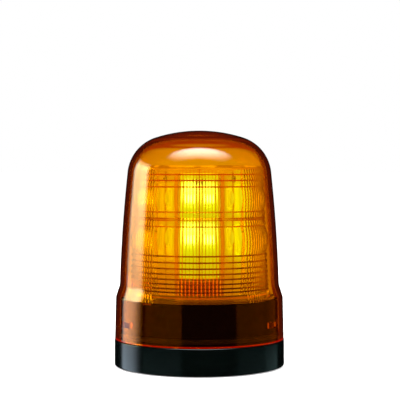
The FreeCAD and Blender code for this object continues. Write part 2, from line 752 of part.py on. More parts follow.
for n in range(FACES):
    lamp_board = new_body(f"lamp_board_{n + 1}", 60 * n)
    strip = facing_sketch(lamp_board, "column_flat")
    rectangle(
        strip, "lamp_board_width", "lamp_board_top - link_top", "0", "(link_top + lamp_board_top) / 2",
    )
    for z in STUD_ROWS:
        circle(strip, "stud_radius + pilot_gap", "0", z)
    pad(lamp_board, strip, "board_thickness")
    lamps = new_body(f"lamps_{n + 1}", 60 * n)
    packages = facing_sketch(lamps, "lamp_board_face")
    domes = facing_sketch(lamps, "lamp_board_face + lamp_height")
    for z in LAMP_ROWS:
        for x in ("-lamp_spread", "lamp_spread"):
            rectangle(packages, "lamp_size", "lamp_size", x, z)
            circle(domes, "lamp_dome", x, z)
    pad(lamps, packages, "lamp_height")
    pad(lamps, domes, "lamp_dome_height")
    tip = size("lamp_board_face + lamp_height + lamp_dome_height")
    rounded(lamps, "lamp_dome_round", lambda curve: abs(curve.Center.y + tip) < 1e-3)

studs = new_body("lamp_board_screws")
heads = facing_sketch(studs, "lamp_board_face")
shanks = facing_sketch(studs, "lamp_board_face")
for z in STUD_ROWS:
    circle(heads, "stud_head", "0", z)
    circle(shanks, "stud_radius", "0", z)
head_pad = pad(studs, heads, "stud_head_height")
shank_pad = pad(studs, shanks, "board_thickness + column_wall - pilot_gap", down=True)
recesses = drive(
    studs, facing_sketch, "lamp_board_face + stud_head_height", "stud_head", "stud_head_height",
    [("0", z) for z in STUD_ROWS],
)
polar(studs, [head_pad, shank_pad, *recesses], FACES)

cap = new_body("tower_cap")
lid = flat_sketch(cap, "column_top")
hexagon(lid, "cap_flat")
pad(cap, lid, "cap_height")
spigot = flat_sketch(cap, "column_top")
hexagon(spigot, "column_flat - column_wall - spigot_gap")
pad(cap, spigot, "spigot_height", down=True)
recess = flat_sketch(cap, "cap_top")
circle(recess, "tie_head + pilot_gap")
pocket(cap, recess, "tie_head_height")
hole = flat_sketch(cap, "cap_top")
circle(hole, "tie_radius + pilot_gap")
pocket(cap, hole, "cap_height + spigot_height")

tie_screw = new_body("tie_screw")
head = flat_sketch(tie_screw, "cap_top - tie_head_height")
circle(head, "tie_head")
pad(tie_screw, head, "tie_head_height")
rounded(tie_screw, "screw_round", ring_at("tie_head", "cap_top"))
drive(tie_screw, flat_sketch, "cap_top", "tie_head", "tie_head_height", [("0", "0")])
shank = flat_sketch(tie_screw, "cap_top - tie_head_height")
circle(shank, "tie_radius")
pad(
    tie_screw, shank, "column_height + cap_height - tie_head_height - spigot_height + tie_grip", down=True,
)


# Clear prism lens over the tower: two bowed belts with prism rings above and below them,
# a fluted bore before each lamp board and a flange on the deck.
def lens_ring(z):
    """Radius of the prism tips at a height, as an expression."""
    return f"lens_foot_radius - lens_lean * (({z}) - lens_foot) / (lens_head - lens_foot)"


def lens_bore(z):
    """Radius of the lens bore at a height, as an expression."""
    return f"{lens_ring(z)} - lens_wall"


def ring_edge_below(belt_edge, n):
    """Height of the n-th prism edge below a belt."""
    return f"{belt_edge} - ring_height * (1 - ring_ratio ^ {n}) / (1 - ring_ratio)"


def ring_edge_above(belt_edge, n):
    """Height of the n-th prism edge above a belt."""
    return f"{belt_edge} + ring_height * (1 - ring_ratio ^ {n}) / (1 - ring_ratio)"


def tip(z):
    """A prism's outer edge."""
    return lens_ring(z), z


def root(z):
    """A prism's inner edge."""
    return f"{lens_ring(z)} - ring_depth", z


lower_start = "lower_belt - lower_belt_height / 2"
lower_end = "lower_belt + lower_belt_height / 2"
upper_start = "upper_belt - upper_belt_height / 2"
upper_end = "upper_belt + upper_belt_height / 2"
lens_ceiling = "lens_top - lens_cover"
top_radius = root(ring_edge_above(upper_end, UPPER_RINGS))[0]

corners = [(lens_bore("deck_top"), "deck_top"), ("flange_radius", "deck_top"), ("flange_radius", "flange_top")]
corners.append((root(ring_edge_below(lower_start, LOWER_RINGS))[0], "flange_top"))
for n in range(LOWER_RINGS, 0, -1):
    corners.append(root(ring_edge_below(lower_start, n)))
    corners.append(tip(f"{ring_edge_below(lower_start, n - 1)} - ring_draft"))
corners.append((*root(lower_start), "belt_radius"))
corners.append(root(lower_end))
corners.append(tip(f"{lower_end} + ring_draft"))
corners.append(root(ring_edge_above(lower_end, 1)))
corners.append(tip(f"{ring_edge_above(lower_end, 1)} + ring_draft"))
corners.append(tip(f"{ring_edge_below(upper_start, 1)} - ring_draft"))
corners.append(root(ring_edge_below(upper_start, 1)))
corners.append(tip(f"{upper_start} - ring_draft"))
corners.append((*root(upper_start), "belt_radius"))
corners.append(root(upper_end))
for n in range(UPPER_RINGS):
    corners.append(tip(f"{ring_edge_above(upper_end, n)} + ring_draft"))
    corners.append(root(ring_edge_above(upper_end, n + 1)))
corners.append((top_radius, "lens_top"))
corners.append(("0", "lens_top"))
corners.append(("0", lens_ceiling))
corners.append((lens_bore(lens_ceiling), lens_ceiling))

lens = new_body("inner_lens")
section = upright_sketch(lens)
outline(section, corners)
spin(lens, section)
rounded(lens, "lens_round", ring_at(top_radius, "lens_top"))
lip = upright_sketch(lens, LIP_START)
outline(lip, [
    ("flange_radius - lip_width", "flange_top - flange_height / 2"),
    ("flange_radius", "flange_top - flange_height / 2"),
    ("flange_radius", "flange_top + lip_height"),
    ("flange_radius - lip_width", "flange_top + lip_height"),
])
polar(lens, [spin(lens, lip, "lip_angle")], THIRDS)
holes = flat_sketch(lens, "flange_top")
round_thirds(holes, "lens_screw_radius + pilot_gap", "lens_screw_ring", LENS_SCREW_START)
pocket(lens, holes, "flange_height")


def flute_section(z):
    """A flute's section on the lens bore at a height: an arc that stands on its chord."""
    section = flat_sketch(lens, z)
    middle = f"{FRONT} - flute_sector / 2"
    turn = f"flute_share * flute_sector / {2 * (FLUTES - 1)}"
    half = f"({lens_bore(z)}) * sin({turn})"
    arc_radius = f"(({half}) ^ 2 + flute_depth ^ 2) / (2 * flute_depth)"
    outline(section, [
        (*around(lens_bore(z), f"{middle} - {turn}"), arc_radius),
        around(lens_bore(z), f"{middle} + {turn}"),
    ])
    return section


flute = lens.newObject("PartDesign::SubtractiveLoft", "inner_lens_flute")
flute.Profile = flute_section("deck_top")
flute.Sections = [flute_section(lens_ceiling)]
flute.Ruled = True
doc.recompute()
flutes = lens.newObject("PartDesign::MultiTransform", "inner_lens_flutes")
flutes.Originals = [flute]
in_sector = lens.newObject("PartDesign::PolarPattern", "flutes_in_a_sector")
in_sector.Axis = (datum(lens, "Z_Axis"), [""])
in_sector.setExpression("Angle", bound("flute_sector"))
in_sector.Occurrences = FLUTES
in_round = lens.newObject("PartDesign::PolarPattern", "sectors_around")
in_round.Axis = (datum(lens, "Z_Axis"), [""])
in_round.Angle = 360
in_round.Occurrences = FACES
flutes.Transformations = [in_sector, in_round]
lens.Tip = flutes
doc.recompute()

screws(
    "lens_screws", "lens_screw_ring", LENS_SCREW_START, "flange_top",
    "lens_screw_head", "lens_screw_head_height", "lens_screw_radius", "flange_height + lens_screw_grip",
)


# Amber globe: drafted skirt, shoulder, bowed wall, corner and crown, with three bayonet lugs.
def globe_section(body, inset):
    """Half of the globe's outline, from the axis at the rim to its peak, set in from the outside."""
    section = upright_sketch(body)
    corner = f"corner_radius - {inset}"
    crown = f"crown_radius - {inset}"
    reach = size("crown_radius - corner_radius")
    crown_middle = Vector(0, size("globe_height - crown_radius"), 0)
    across = size("dome_radius - corner_radius")
    corner_middle = crown_middle + Vector(across, math.sqrt(reach ** 2 - across ** 2), 0)
    rim_axis = Vector(0, size("globe_rim"), 0)
    rim = Vector(size(f"skirt_radius - {inset}"), size("globe_rim"), 0)
    shoulder = Vector(size(f"shoulder_radius - {inset}"), size("shoulder_height"), 0)
    neck = Vector(size(f"neck_radius - {inset}"), size("neck_height"), 0)
    wall_end = corner_middle + Vector(size(corner), 0, 0)
    corner_end = crown_middle + (corner_middle - crown_middle) * (size(crown) / reach)
    peak = Vector(0, size(f"globe_height - {inset}"), 0)
    wall_rise = (wall_end - neck).Length ** 2 / (8 * size("bow_radius"))
    wall_middle = (neck + wall_end) / 2 + Vector(wall_rise, 0, 0)
    corner_out = (wall_end + corner_end) / 2 - corner_middle
    corner_bulge = corner_middle + corner_out.normalize() * size(corner)
    crown_out = (corner_end + peak) / 2 - crown_middle
    crown_bulge = crown_middle + crown_out.normalize() * size(crown)
    floor_edge = section.addGeometry(Part.LineSegment(rim_axis, rim), False)
    skirt_edge = section.addGeometry(Part.LineSegment(rim, shoulder), False)
    slope_edge = section.addGeometry(Part.LineSegment(shoulder, neck), False)
    wall_arc = section.addGeometry(Part.Arc(neck, wall_middle, wall_end), False)
    corner_arc = section.addGeometry(Part.Arc(wall_end, corner_bulge, corner_end), False)
    crown_arc = section.addGeometry(Part.Arc(corner_end, crown_bulge, peak), False)
    axis_edge = section.addGeometry(Part.LineSegment(peak, rim_axis), False)
    for before, after in (
        (axis_edge, floor_edge), (floor_edge, skirt_edge), (skirt_edge, slope_edge),
        (slope_edge, wall_arc), (crown_arc, axis_edge),
    ):
        section.addConstraint(Sketcher.Constraint("Coincident", before, 2, after, 1))
    for before, after in ((wall_arc, corner_arc), (corner_arc, crown_arc)):
        section.addConstraint(Sketcher.Constraint("Tangent", before, 2, after, 1))
    section.addConstraint(Sketcher.Constraint("PointOnObject", crown_arc, 3, -2))
    pin_point(section, floor_edge, 1, "0", "globe_rim")
    pin_point(section, skirt_edge, 1, f"skirt_radius - {inset}", "globe_rim")
    pin_point(section, slope_edge, 1, f"shoulder_radius - {inset}", "shoulder_height")
    pin_point(section, wall_arc, 1, f"neck_radius - {inset}", "neck_height")
    pin_point(section, axis_edge, 1, "0", f"globe_height - {inset}")
    tie(section, "DistanceX", f"dome_radius - {inset}", -1, 1, corner_arc, 1)
    tie(section, "Radius", f"bow_radius - {inset}", wall_arc)
    tie(section, "Radius", corner, corner_arc)
    tie(section, "Radius", crown, crown_arc)
    return section


globe = new_body("globe")
spin(globe, globe_section(globe, "0"))
groove(globe, globe_section(globe, "globe_wall"))
for inset in ("0", "globe_wall"):
    rounded(globe, "shoulder_round", ring_at(f"shoulder_radius - {inset}", "shoulder_height"))
    rounded(globe, "neck_round", ring_at(f"neck_radius - {inset}", "neck_height"))
lug = upright_sketch(globe, f"{LUG_START} - lug_angle / 2")
outline(lug, [
    ("lug_tip", "lug_bottom"),
    ("globe_bore + globe_wall / 2", "lug_bottom"),
    ("globe_bore + globe_wall / 2", "lug_bottom + lug_height"),
    ("lug_tip", "lug_bottom + lug_height"),
])
polar(globe, [spin(globe, lug, "lug_angle")], THIRDS)

# One file for each sub-part.
bodies = [item for item in doc.Objects if item.TypeId == "PartDesign::Body"]
nodes = bodies + [seal]
doc.recompute()
for item in doc.Objects:
    if "Invalid" in item.State or "Error" in item.State:
        raise RuntimeError(f"{item.Label} did not build")
os.makedirs("parts", exist_ok=True)
for node in nodes:
    if node.Shape.isNull() or not node.Shape.isValid() or not node.Shape.Solids:
        raise RuntimeError(f"{node.Label} has no good shape")
    node.Shape.exportStep(f"parts/{node.Label}.step")
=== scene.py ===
"""Signal beacon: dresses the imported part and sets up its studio. An add-on that is run as a script."""

import json
import math
from collections import namedtuple

import bmesh
import bpy
import numpy as np
from bpy.props import FloatProperty, FloatVectorProperty, IntProperty, PointerProperty
from bpy.types import Operator, Panel, PropertyGroup
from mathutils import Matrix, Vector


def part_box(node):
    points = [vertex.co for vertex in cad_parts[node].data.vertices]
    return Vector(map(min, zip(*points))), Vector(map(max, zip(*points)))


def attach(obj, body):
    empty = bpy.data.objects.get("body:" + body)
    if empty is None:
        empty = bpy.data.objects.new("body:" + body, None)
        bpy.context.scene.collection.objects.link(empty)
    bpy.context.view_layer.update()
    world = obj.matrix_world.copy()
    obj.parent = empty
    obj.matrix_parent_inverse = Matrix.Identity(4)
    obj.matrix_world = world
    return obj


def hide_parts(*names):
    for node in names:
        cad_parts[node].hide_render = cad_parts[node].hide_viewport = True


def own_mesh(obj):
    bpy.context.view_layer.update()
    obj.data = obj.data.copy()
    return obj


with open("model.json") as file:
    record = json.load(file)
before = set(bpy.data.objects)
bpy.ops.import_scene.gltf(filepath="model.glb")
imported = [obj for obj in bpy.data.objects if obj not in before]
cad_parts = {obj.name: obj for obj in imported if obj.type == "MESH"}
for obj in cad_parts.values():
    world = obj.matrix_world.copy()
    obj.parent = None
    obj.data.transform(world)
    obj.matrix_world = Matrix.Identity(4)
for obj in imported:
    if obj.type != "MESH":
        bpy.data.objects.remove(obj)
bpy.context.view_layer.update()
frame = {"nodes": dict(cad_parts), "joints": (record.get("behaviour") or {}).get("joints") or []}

bl_info = {
    "name": "Signal beacon",
    "version": (1, 0, 0),
    "blender": (4, 5, 0),
    "location": "3D View > Sidebar > Beacon",
    "description": "Dresses the packed signal beacon and sets up its studio",
    "category": "Object",
}

MM = 0.001
BUTTONS = 4
FACES = 6
THIRDS = 3
FACE_TURN = 360 / FACES
THIRD_TURN = 360 / THIRDS
FRONT = 270.0
WHITE = (1.0, 1.0, 1.0)
# A step in a grid is a very steep slope: its width in metres, and half its width in degrees.
EDGE_STEP = 0.02 * MM
EDGE_ANGLE = 0.03
# Lengths and a turn that count as none, and the digits kept of an angle in degrees.
SAME_POINT = 1e-7
NO_LENGTH = 1e-8
NO_TURN = 1e-6
ANGLE_DIGITS = 6


# Settings that a user would change.
def length(name, description, millimetres):
    """A length whose default is given in millimetres."""
    return FloatProperty(
        name=name, description=description, default=millimetres * MM, unit="LENGTH", precision=5
    )


def share(name, description, value, top=1.0):
    """A plain number from zero to a top."""
    return FloatProperty(name=name, description=description, default=value, min=0.0, max=top)


def colour(name, description, value):
    """A linear colour."""
    return FloatVectorProperty(
        name=name, description=description, default=value, size=3, min=0.0, max=1.0, subtype="COLOR"
    )


class GlobeSettings(PropertyGroup):
    """The amber globe."""

    rim_radius: length("Rim radius", "Skirt at its lower rim", 49.8)
    rim_height: length("Rim height", "Lower rim above the mounting plane", 16.3)
    shoulder_radius: length("Shoulder radius", "Skirt at its top", 49.2)
    shoulder_height: length("Shoulder height", "Top of the skirt", 40.7)
    neck_radius: length("Neck radius", "Radius at the foot of the dome", 46.9)
    neck_height: length("Neck height", "Height of the foot of the dome", 47.8)
    dome_radius: length("Dome radius", "Top of the dome wall", 42.3)
    bow_radius: length("Bow radius", "Bow of the dome wall", 900.0)
    corner_radius: length("Corner radius", "Dome corner", 24.0)
    crown_radius: length("Crown radius", "Dome crown", 84.5)
    wall: length("Wall", "Wall thickness", 2.6)
    absorbed: colour("Absorbed tint", "Colour that a long path in the wall takes", (0.969, 0.853, 0.059))
    density: share("Density", "Strength of the tint for each metre of wall", 1600.0, 9000.0)
    gloss: share("Roughness", "Roughness of the outside", 0.03)
    rim_glow: colour("Rim glow", "Light that the wall leads to its lower rim", (0.20, 0.002, 0.0))


class LensSettings(PropertyGroup):
    """The clear prism lens."""

    wall: length("Wall", "Prism tips to the bore", 3.2)
    foot_radius: length("Foot radius", "Tip radius at the lowest ring", 41.0)
    lean: length("Lean", "Foot radius less the tip radius at the highest ring", 3.0)
    ring_depth: length("Ring depth", "Depth of a prism ring", 1.1)
    ring_draft: length("Ring draft", "Height of the step between prism rings", 0.8)
    belt_radius: length("Belt radius", "Curve of both belts", 17.0)
    flute_depth: length("Flute depth", "Depth of the flutes in the bore", 0.26)
    flutes: IntProperty(name="Flutes", description="Flutes before each lamp board", default=11, min=1)
    gloss: share("Roughness", "Roughness of the clear plastic", 0.02)
    clear: colour("Clear", "Tint of the clear plastic", (0.98, 0.98, 0.97))
    # Painted shade: narrow faces between rings and flutes are darkened towards this tint.
    edge: colour("Edge tint", "Tint of the narrow faces between rings and flutes", (0.60, 0.14, 0.005))
    glow: colour("Glow", "Light in the foot, lips and flute lands", (0.5, 0.09, 0.0))
    cover_glow: colour("Cover glow", "Light in the cover", (0.07, 0.024, 0.0))
    rim_glow: colour("Rim glow", "Light at the cover's rim", (0.8, 0.5, 0.0))


class LampSettings(PropertyGroup):
    """The lit tower."""

    core: colour("Core", "Colour of a lamp's dome", (0.3, 0.55, 1.0))
    board_strength: share("Board strength", "Light that a lit board throws back", 1.32, 100.0)
    lamp_strength: share("Lamp strength", "Light of a lamp's core against its board", 16.0, 1000.0)
    halo_strength: share("Halo strength", "Light of a lamp's halo against its board", 6.5, 1000.0)
    halo_lift: length("Halo lift", "Middle of a halo above its lamp", 3.0)
    board_half: length("Board half", "Middle of a board to its side", 11.7)
    spread: length("Lamp spread", "Middle of a board to its lamps", 5.4)
    lower_row: length("Lower row", "Height of the lower lamps", 74.85)
    upper_row: length("Upper row", "Height of the upper lamps", 98.45)
    reach: length("Reach", "How far a lamp lights its board", 7.0)


class BaseSettings(PropertyGroup):
    """The black base."""

    ring_radius: length("Ring radius", "Outside of the base ring", 50.0)
    ring_top: length("Ring top", "Top of the base ring", 16.0)
    drum_radius: length("Drum radius", "Drum under the skirt", 46.2)
    deck_top: length("Deck top", "Top of the drum", 39.0)
    rim_top: length("Rim top", "Top of the rim round the deck", 40.2)
    black: colour("Black", "Moulded black plastic", (0.0008, 0.0022, 0.0018))
    gloss: share("Roughness", "Roughness of the black plastic", 0.14)


class StageSettings(PropertyGroup):
    """Camera, floor and lights."""

    lens: FloatProperty(name="Lens", description="Focal length in millimetres", default=116.1)
    camera_distance: length("Camera distance", "Camera to the axis", 761.0)
    camera_height: length("Camera height", "Camera above the floor", 115.6)
    camera_aside: length("Camera aside", "Camera beside the axis", 0.36)
    camera_tilt: FloatProperty(
        name="Camera tilt", description="How far the camera looks down", default=math.radians(1.367),
        subtype="ANGLE",
    )
    floor: colour("Floor", "Pale floor", (0.86, 0.86, 0.86))
    side_power: share("Side light", "Power of the left softbox in watts", 14.0, 1000.0)
    top_power: share("Top light", "Power of the overhead softbox in watts", 16.0, 1000.0)
    fill_power: share("Fill light", "Power of the right softbox in watts", 5.0, 1000.0)


class BeaconSettings(PropertyGroup):
    """All settings of the beacon."""

    globe: PointerProperty(type=GlobeSettings)
    lens: PointerProperty(type=LensSettings)
    lamps: PointerProperty(type=LampSettings)
    base: PointerProperty(type=BaseSettings)
    stage: PointerProperty(type=StageSettings)


# Shader maths.
def operators(operation):
    """The method for a Math operation, and its reflected form."""
    def method(self, other):
        return self.math(operation, self, other)

    def reflected(self, other):
        return self.math(operation, other, self)

    return method, reflected


class Wire:
    """A shader socket that Python arithmetic can use; each operation adds a Math node."""

    __add__, __radd__ = operators("ADD")
    __sub__, __rsub__ = operators("SUBTRACT")
    __mul__, __rmul__ = operators("MULTIPLY")
    __truediv__, __rtruediv__ = operators("DIVIDE")

    def __init__(self, paint, socket):
        self.paint = paint
        self.socket = socket

    def __abs__(self):
        return self.math("ABSOLUTE", self)

    def math(self, operation, *terms):
        """A Math node's result from its terms."""
        return self.paint.node("ShaderNodeMath", {"operation": operation}, dict(enumerate(terms)))


class Paint:
    """One procedural material or world under construction."""

    socket_names = {"ior": "IOR", "specular_ior_level": "Specular IOR Level"}

    def __init__(self, tree):
        self.tree = tree
        tree.nodes.clear()

    def node(self, kind, settings=None, inputs=None, output=0):
        """Adds a node: its settings are set first, then its sockets get values or links."""
        made = self.tree.nodes.new(kind)
        for name, value in (settings or {}).items():
            if name == "stops":
                self.fill_ramp(made.color_ramp, value)
            else:
                setattr(made, name, value)
        for key, value in (inputs or {}).items():
            if isinstance(value, Wire):
                self.tree.links.new(value.socket, made.inputs[key])
            else:
                made.inputs[key].default_value = value
        return Wire(self, made.outputs[output]) if made.outputs else made

    @staticmethod
    def fill_ramp(ramp, stops):
        """Puts the stops, each a place and a grey or colour, into a ramp."""
        while len(ramp.elements) < len(stops):
            ramp.elements.new(0.5)
        for element, (place, value) in zip(ramp.elements, stops):
            element.position = place
            element.color = (value, value, value, 1) if np.isscalar(value) else (*value, 1)

    def place(self, turn=0.0):
        """Object coordinates turned about the vertical axis by degrees."""
        coordinates = self.node("ShaderNodeTexCoord", output="Object")
        return self.node("ShaderNodeMapping", {"vector_type": "TEXTURE"}, {
            "Vector": coordinates, "Rotation": (0.0, 0.0, math.radians(turn)),
        })

    def axes(self, vector):
        """The three numbers of a vector."""
        made = self.node("ShaderNodeSeparateXYZ", inputs={"Vector": vector})
        return [Wire(self, socket) for socket in made.socket.node.outputs]

    def radius(self, vector):
        """Distance of a place from the vertical axis."""
        x, y, _ = self.axes(vector)
        return x.math("SQRT", x * x + y * y)

    def noise(self, vector, scale, detail):
        """A soft noise from zero to one."""
        return self.node("ShaderNodeTexNoise", inputs={"Vector": vector, "Scale": scale, "Detail": detail})

    def ramp(self, factor, stops):
        """A ramp of greys or colours."""
        return self.node("ShaderNodeValToRGB", {"stops": stops}, {"Fac": factor})

    def between(self, factor, ends, bottom, top):
        """A smooth step from bottom to top, as a number goes from one end to the other."""
        return self.node("ShaderNodeMapRange", {"interpolation_type": "SMOOTHSTEP"}, {
            "Value": factor, "From Min": ends[0], "From Max": ends[1], "To Min": bottom, "To Max": top,
        })

    def rises(self, factor, ends):
        """A smooth step from zero to one."""
        return self.between(factor, ends, 0.0, 1.0)

    def falls(self, factor, ends):
        """A smooth step from one to zero."""
        return self.between(factor, ends, 1.0, 0.0)

    def mix(self, factor, first, second):
        """A mix of two colours."""
        return self.node("ShaderNodeMix", {"data_type": "RGBA"}, {
            "Factor": factor, 6: solid(first), 7: solid(second),
        }, output=2)

    def scaled(self, tint, factor):
        """A colour times a number."""
        return self.node("ShaderNodeVectorMath", {"operation": "SCALE"}, {0: tint, "Scale": factor})

    def added(self, first, second):
        """The sum of two colours."""
        return self.node("ShaderNodeVectorMath", {"operation": "ADD"}, {0: first, 1: second})

    def bump(self, height, strength, distance):
        """A normal from a height."""
        return self.node("ShaderNodeBump", inputs={
            "Height": height, "Strength": strength, "Distance": distance,
        })

    def path(self, output):
        """What the light path says of a ray."""
        return self.node("ShaderNodeLightPath", output=output)

    def principled(self, **sockets):
        """A Principled shader; an underscore in a socket's name stands for a space."""
        inputs = {}
        for key, value in sockets.items():
            name = self.socket_names.get(key, key.replace("_", " ").title())
            inputs[name] = solid(value) if "Color" in name else value
        return self.node("ShaderNodeBsdfPrincipled", inputs=inputs)

    def emission(self, tint, strength):
        """A plain light of a colour."""
        return self.node("ShaderNodeEmission", inputs={"Color": solid(tint), "Strength": strength})

    def show(self, shader, **ends):
        """Sends a shader, and a volume where there is one, to the output."""
        self.node("ShaderNodeOutputMaterial", inputs={"Surface": shader, **ends})

    def show_both(self, first, second):
        """Sends the sum of two shaders to the output."""
        self.show(self.node("ShaderNodeAddShader", inputs={0: first, 1: second}))


def solid(value):
    """A colour with its alpha, or a link as it is."""
    return value if isinstance(value, Wire) else (*value[:3], 1.0)


def shaded(base, factor):
    """A plain colour times a number."""
    return [factor * value for value in base]


def new_material(name):
    """An empty material and its paint."""
    material = bpy.data.materials.new(name)
    material.use_nodes = True
    return material, Paint(material.node_tree)


# Surfaces as whole arrays.
def arc(centre, radius, start, end, steps):
    """Centre plus radius along an angle that goes from start to end, in degrees."""
    angle = np.radians(np.linspace(start, end, steps))
    return np.column_stack((centre[0] + radius * np.cos(angle), centre[1] + radius * np.sin(angle)))


def softened(corners, radii, steps=7):
    """A line through corners, each replaced by an arc tangent to both its sides.

    The arc's normal turns evenly from one side's normal to the other's, and its point is the
    arc's centre plus the radius along that normal. A corner of radius zero stays sharp.
    """
    corners = np.asarray(corners, float)
    radii = np.asarray(radii, float)[:, None]
    sides = np.diff(corners, axis=0)
    sides /= np.linalg.norm(sides, axis=1, keepdims=True)
    before, after = sides[:-1], sides[1:]
    cross = before[:, :1] * after[:, 1:] - before[:, 1:] * after[:, :1]
    hand = np.where(cross < 0, 1.0, -1.0)
    normal_in = hand * np.column_stack((-before[:, 1], before[:, 0]))
    normal_out = hand * np.column_stack((-after[:, 1], after[:, 0]))
    turn = np.arccos(np.clip(np.sum(before * after, axis=1, keepdims=True), -1, 1))
    inward = radii * np.tan(turn / 2)
    centre = corners[1:-1] - before * inward - normal_in * radii
    part = np.linspace(0, 1, steps)[None, :, None]
    turn = np.maximum(turn, NO_TURN)[:, None]
    start, end = np.sin((1 - part) * turn), np.sin(part * turn)
    normal = (start * normal_in[:, None] + end * normal_out[:, None]) / np.sin(turn)
    points = (centre[:, None] + radii[:, None] * normal).reshape(-1, 2)
    points = np.vstack((corners[:1], points, corners[-1:]))
    apart = np.linalg.norm(np.diff(points, axis=0), axis=1) > SAME_POINT
    return held(points[np.concatenate(([True], apart))])


def held(line, gap=0.25 * MM):
    """A line with more points a gap inside both ends of each long run, so that the run shades flat."""
    run = np.diff(line, axis=0)
    span = np.linalg.norm(run, axis=1)
    inward = gap * run / span[:, None]
    points = np.stack((line[:-1], line[:-1] + inward, line[1:] - inward), 1)
    long = span > 4 * gap
    return np.vstack((points[np.column_stack((np.ones_like(long), long, long))], line[-1:]))


def divided(line, heights):
    """A rising line with extra points where it passes the heights."""
    extra = np.column_stack((np.interp(heights, line[:, 1], line[:, 0]), heights))
    merged = np.vstack((line, extra))
    return merged[np.argsort(merged[:, 1], kind="stable")]


def turned(radius, height, angle):
    """x = radius cos angle, y = radius sin angle, z = height, on a grid of rows by angles."""
    radius, height, angle = np.broadcast_arrays(radius, height, angle)
    return np.stack((radius * np.cos(angle), radius * np.sin(angle), height), -1)


def turned_line(line, angles):
    """A line of radius and height carried round the vertical axis."""
    return turned(line[:, :1], line[:, 1:], angles)


def around(*degrees):
    """Angles round the axis in radians, in order and each once, from arrays of degrees."""
    angles = np.concatenate([np.ravel(group) for group in degrees]) % 360
    return np.radians(np.unique(np.round(angles, ANGLE_DIGITS)))


def full_turn(count, *edges):
    """Angles round the axis in radians, evenly and close on both sides of each edge in degrees."""
    edges = np.ravel(edges)
    return around(np.linspace(0, 360, count, endpoint=False), edges - EDGE_ANGLE, edges + EDGE_ANGLE)


def thirds(start):
    """Three angles in degrees, a third of a turn apart."""
    return (start + THIRD_TURN * np.arange(THIRDS)) % 360


def in_sectors(angles, starts, size):
    """True for the angles, in radians, that lie within a size past any start, both in degrees."""
    return np.any((np.degrees(angles) - starts[:, None]) % 360 < size, axis=0)


def from_nearest(angles, centres):
    """How far each angle is from the nearest centre, all in degrees."""
    away = (angles[:, None] - np.asarray(centres)[None, :] + 180) % 360 - 180
    return np.min(np.abs(away), axis=1)


def grid_faces(rows, columns, closed=True):
    """Quads between neighbours of a grid, whose last column joins the first one if it is closed."""
    index = np.arange(rows * columns).reshape(rows, columns)
    if closed:
        index = np.concatenate((index, index[:, :1]), axis=1)
    corners = (index[:-1, :-1], index[:-1, 1:], index[1:, 1:], index[1:, :-1])
    return np.stack(corners, axis=-1).reshape(-1, 4)


def enclosed(points, faces):
    """Six times the volume inside quads, negative where they face inwards: corner products, summed."""
    a, b, c, d = (points[faces[:, n]] for n in range(4))
    return np.sum(a * np.cross(b, c)) + np.sum(a * np.cross(c, d))


def placed(name, data):
    """A new object in the scene."""
    made = bpy.data.objects.new(name, data)
    bpy.context.scene.collection.objects.link(made)
    return made


def make_piece(name, grids, material, body, nodes, crease=35.0, edge=None):
    """A piece of closed grids, faced outwards, merged at poles and seams, set in its body in place of the
    nodes it hides.

    Where a share of painted edge shade is given for each quad of the first grid, it is kept as an attribute.
    """
    places, quads, count = [], [], 0
    for grid in grids:
        points = grid.reshape(-1, 3)
        faces = grid_faces(*grid.shape[:2])
        if enclosed(points, faces) < 0:
            faces = faces[:, ::-1]
        places.append(points)
        quads.append(faces + count)
        count += len(points)
    places, quads = np.concatenate(places), np.concatenate(quads)
    mesh = bpy.data.meshes.new(name)
    mesh.vertices.add(len(places))
    mesh.vertices.foreach_set("co", places.astype(np.float32).ravel())
    mesh.loops.add(quads.size)
    mesh.loops.foreach_set("vertex_index", quads.astype(np.int32).ravel())
    mesh.polygons.add(len(quads))
    mesh.polygons.foreach_set("loop_start", np.arange(0, quads.size, 4, dtype=np.int32))
    mesh.update(calc_edges=True)
    if edge is not None:
        tints = mesh.attributes.new("edge", "FLOAT", "FACE")
        tints.data.foreach_set("value", edge.astype(np.float32).ravel())
    shape = bmesh.new()
    shape.from_mesh(mesh)
    bmesh.ops.remove_doubles(shape, verts=shape.verts, dist=SAME_POINT)
    bmesh.ops.dissolve_degenerate(shape, edges=shape.edges, dist=NO_LENGTH)
    shape.to_mesh(mesh)
    shape.free()
    mesh.polygons.foreach_set("use_smooth", np.ones(len(mesh.polygons), bool))
    mesh.set_sharp_from_angle(angle=math.radians(crease))
    mesh.materials.append(material)
    piece = placed(name, mesh)
    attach(piece, body)
    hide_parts(*nodes)
    return piece


def dress(material, *nodes):
    """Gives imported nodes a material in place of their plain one."""
    for node in nodes:
        slots = frame["nodes"][node].data.materials
        slots.clear()
        slots.append(material)


def numbered(stem, count):
    """Node names stem_1 to stem_count."""
    return [f"{stem}_{n + 1}" for n in range(count)]


# Finishes.
HAZE = (0.35, 0.75)
CLOUD = (0.3, 0.7)
PLASTIC_IOR = 1.5
EDGE_GLOSS = 0.2
LENS_LIGHT = 0.045
# Shares of painted edge shade between which a face counts as a land beside a flute: other edges have more.
LAND_LEAST = (0.2, 0.4)
LAND_MOST = (0.5, 0.6)


def hazy(paint, place, gloss, scale, detail):
    """A roughness that a soft haze doubles in places."""
    return paint.between(paint.noise(place, scale, detail), HAZE, gloss, 2 * gloss)


def clouded(paint, place, base, low, high):
    """A cloud over a surface, and a tint that follows it between two shares of a base colour."""
    cloud = paint.noise(place, scale=70.0, detail=4.0)
    return cloud, paint.mix(cloud, shaded(base, low), shaded(base, high))


def grained(paint, place):
    """A normal with the fine grain of a mould."""
    return paint.bump(paint.noise(place, scale=900.0, detail=2.0), strength=0.02, distance=0.0002)


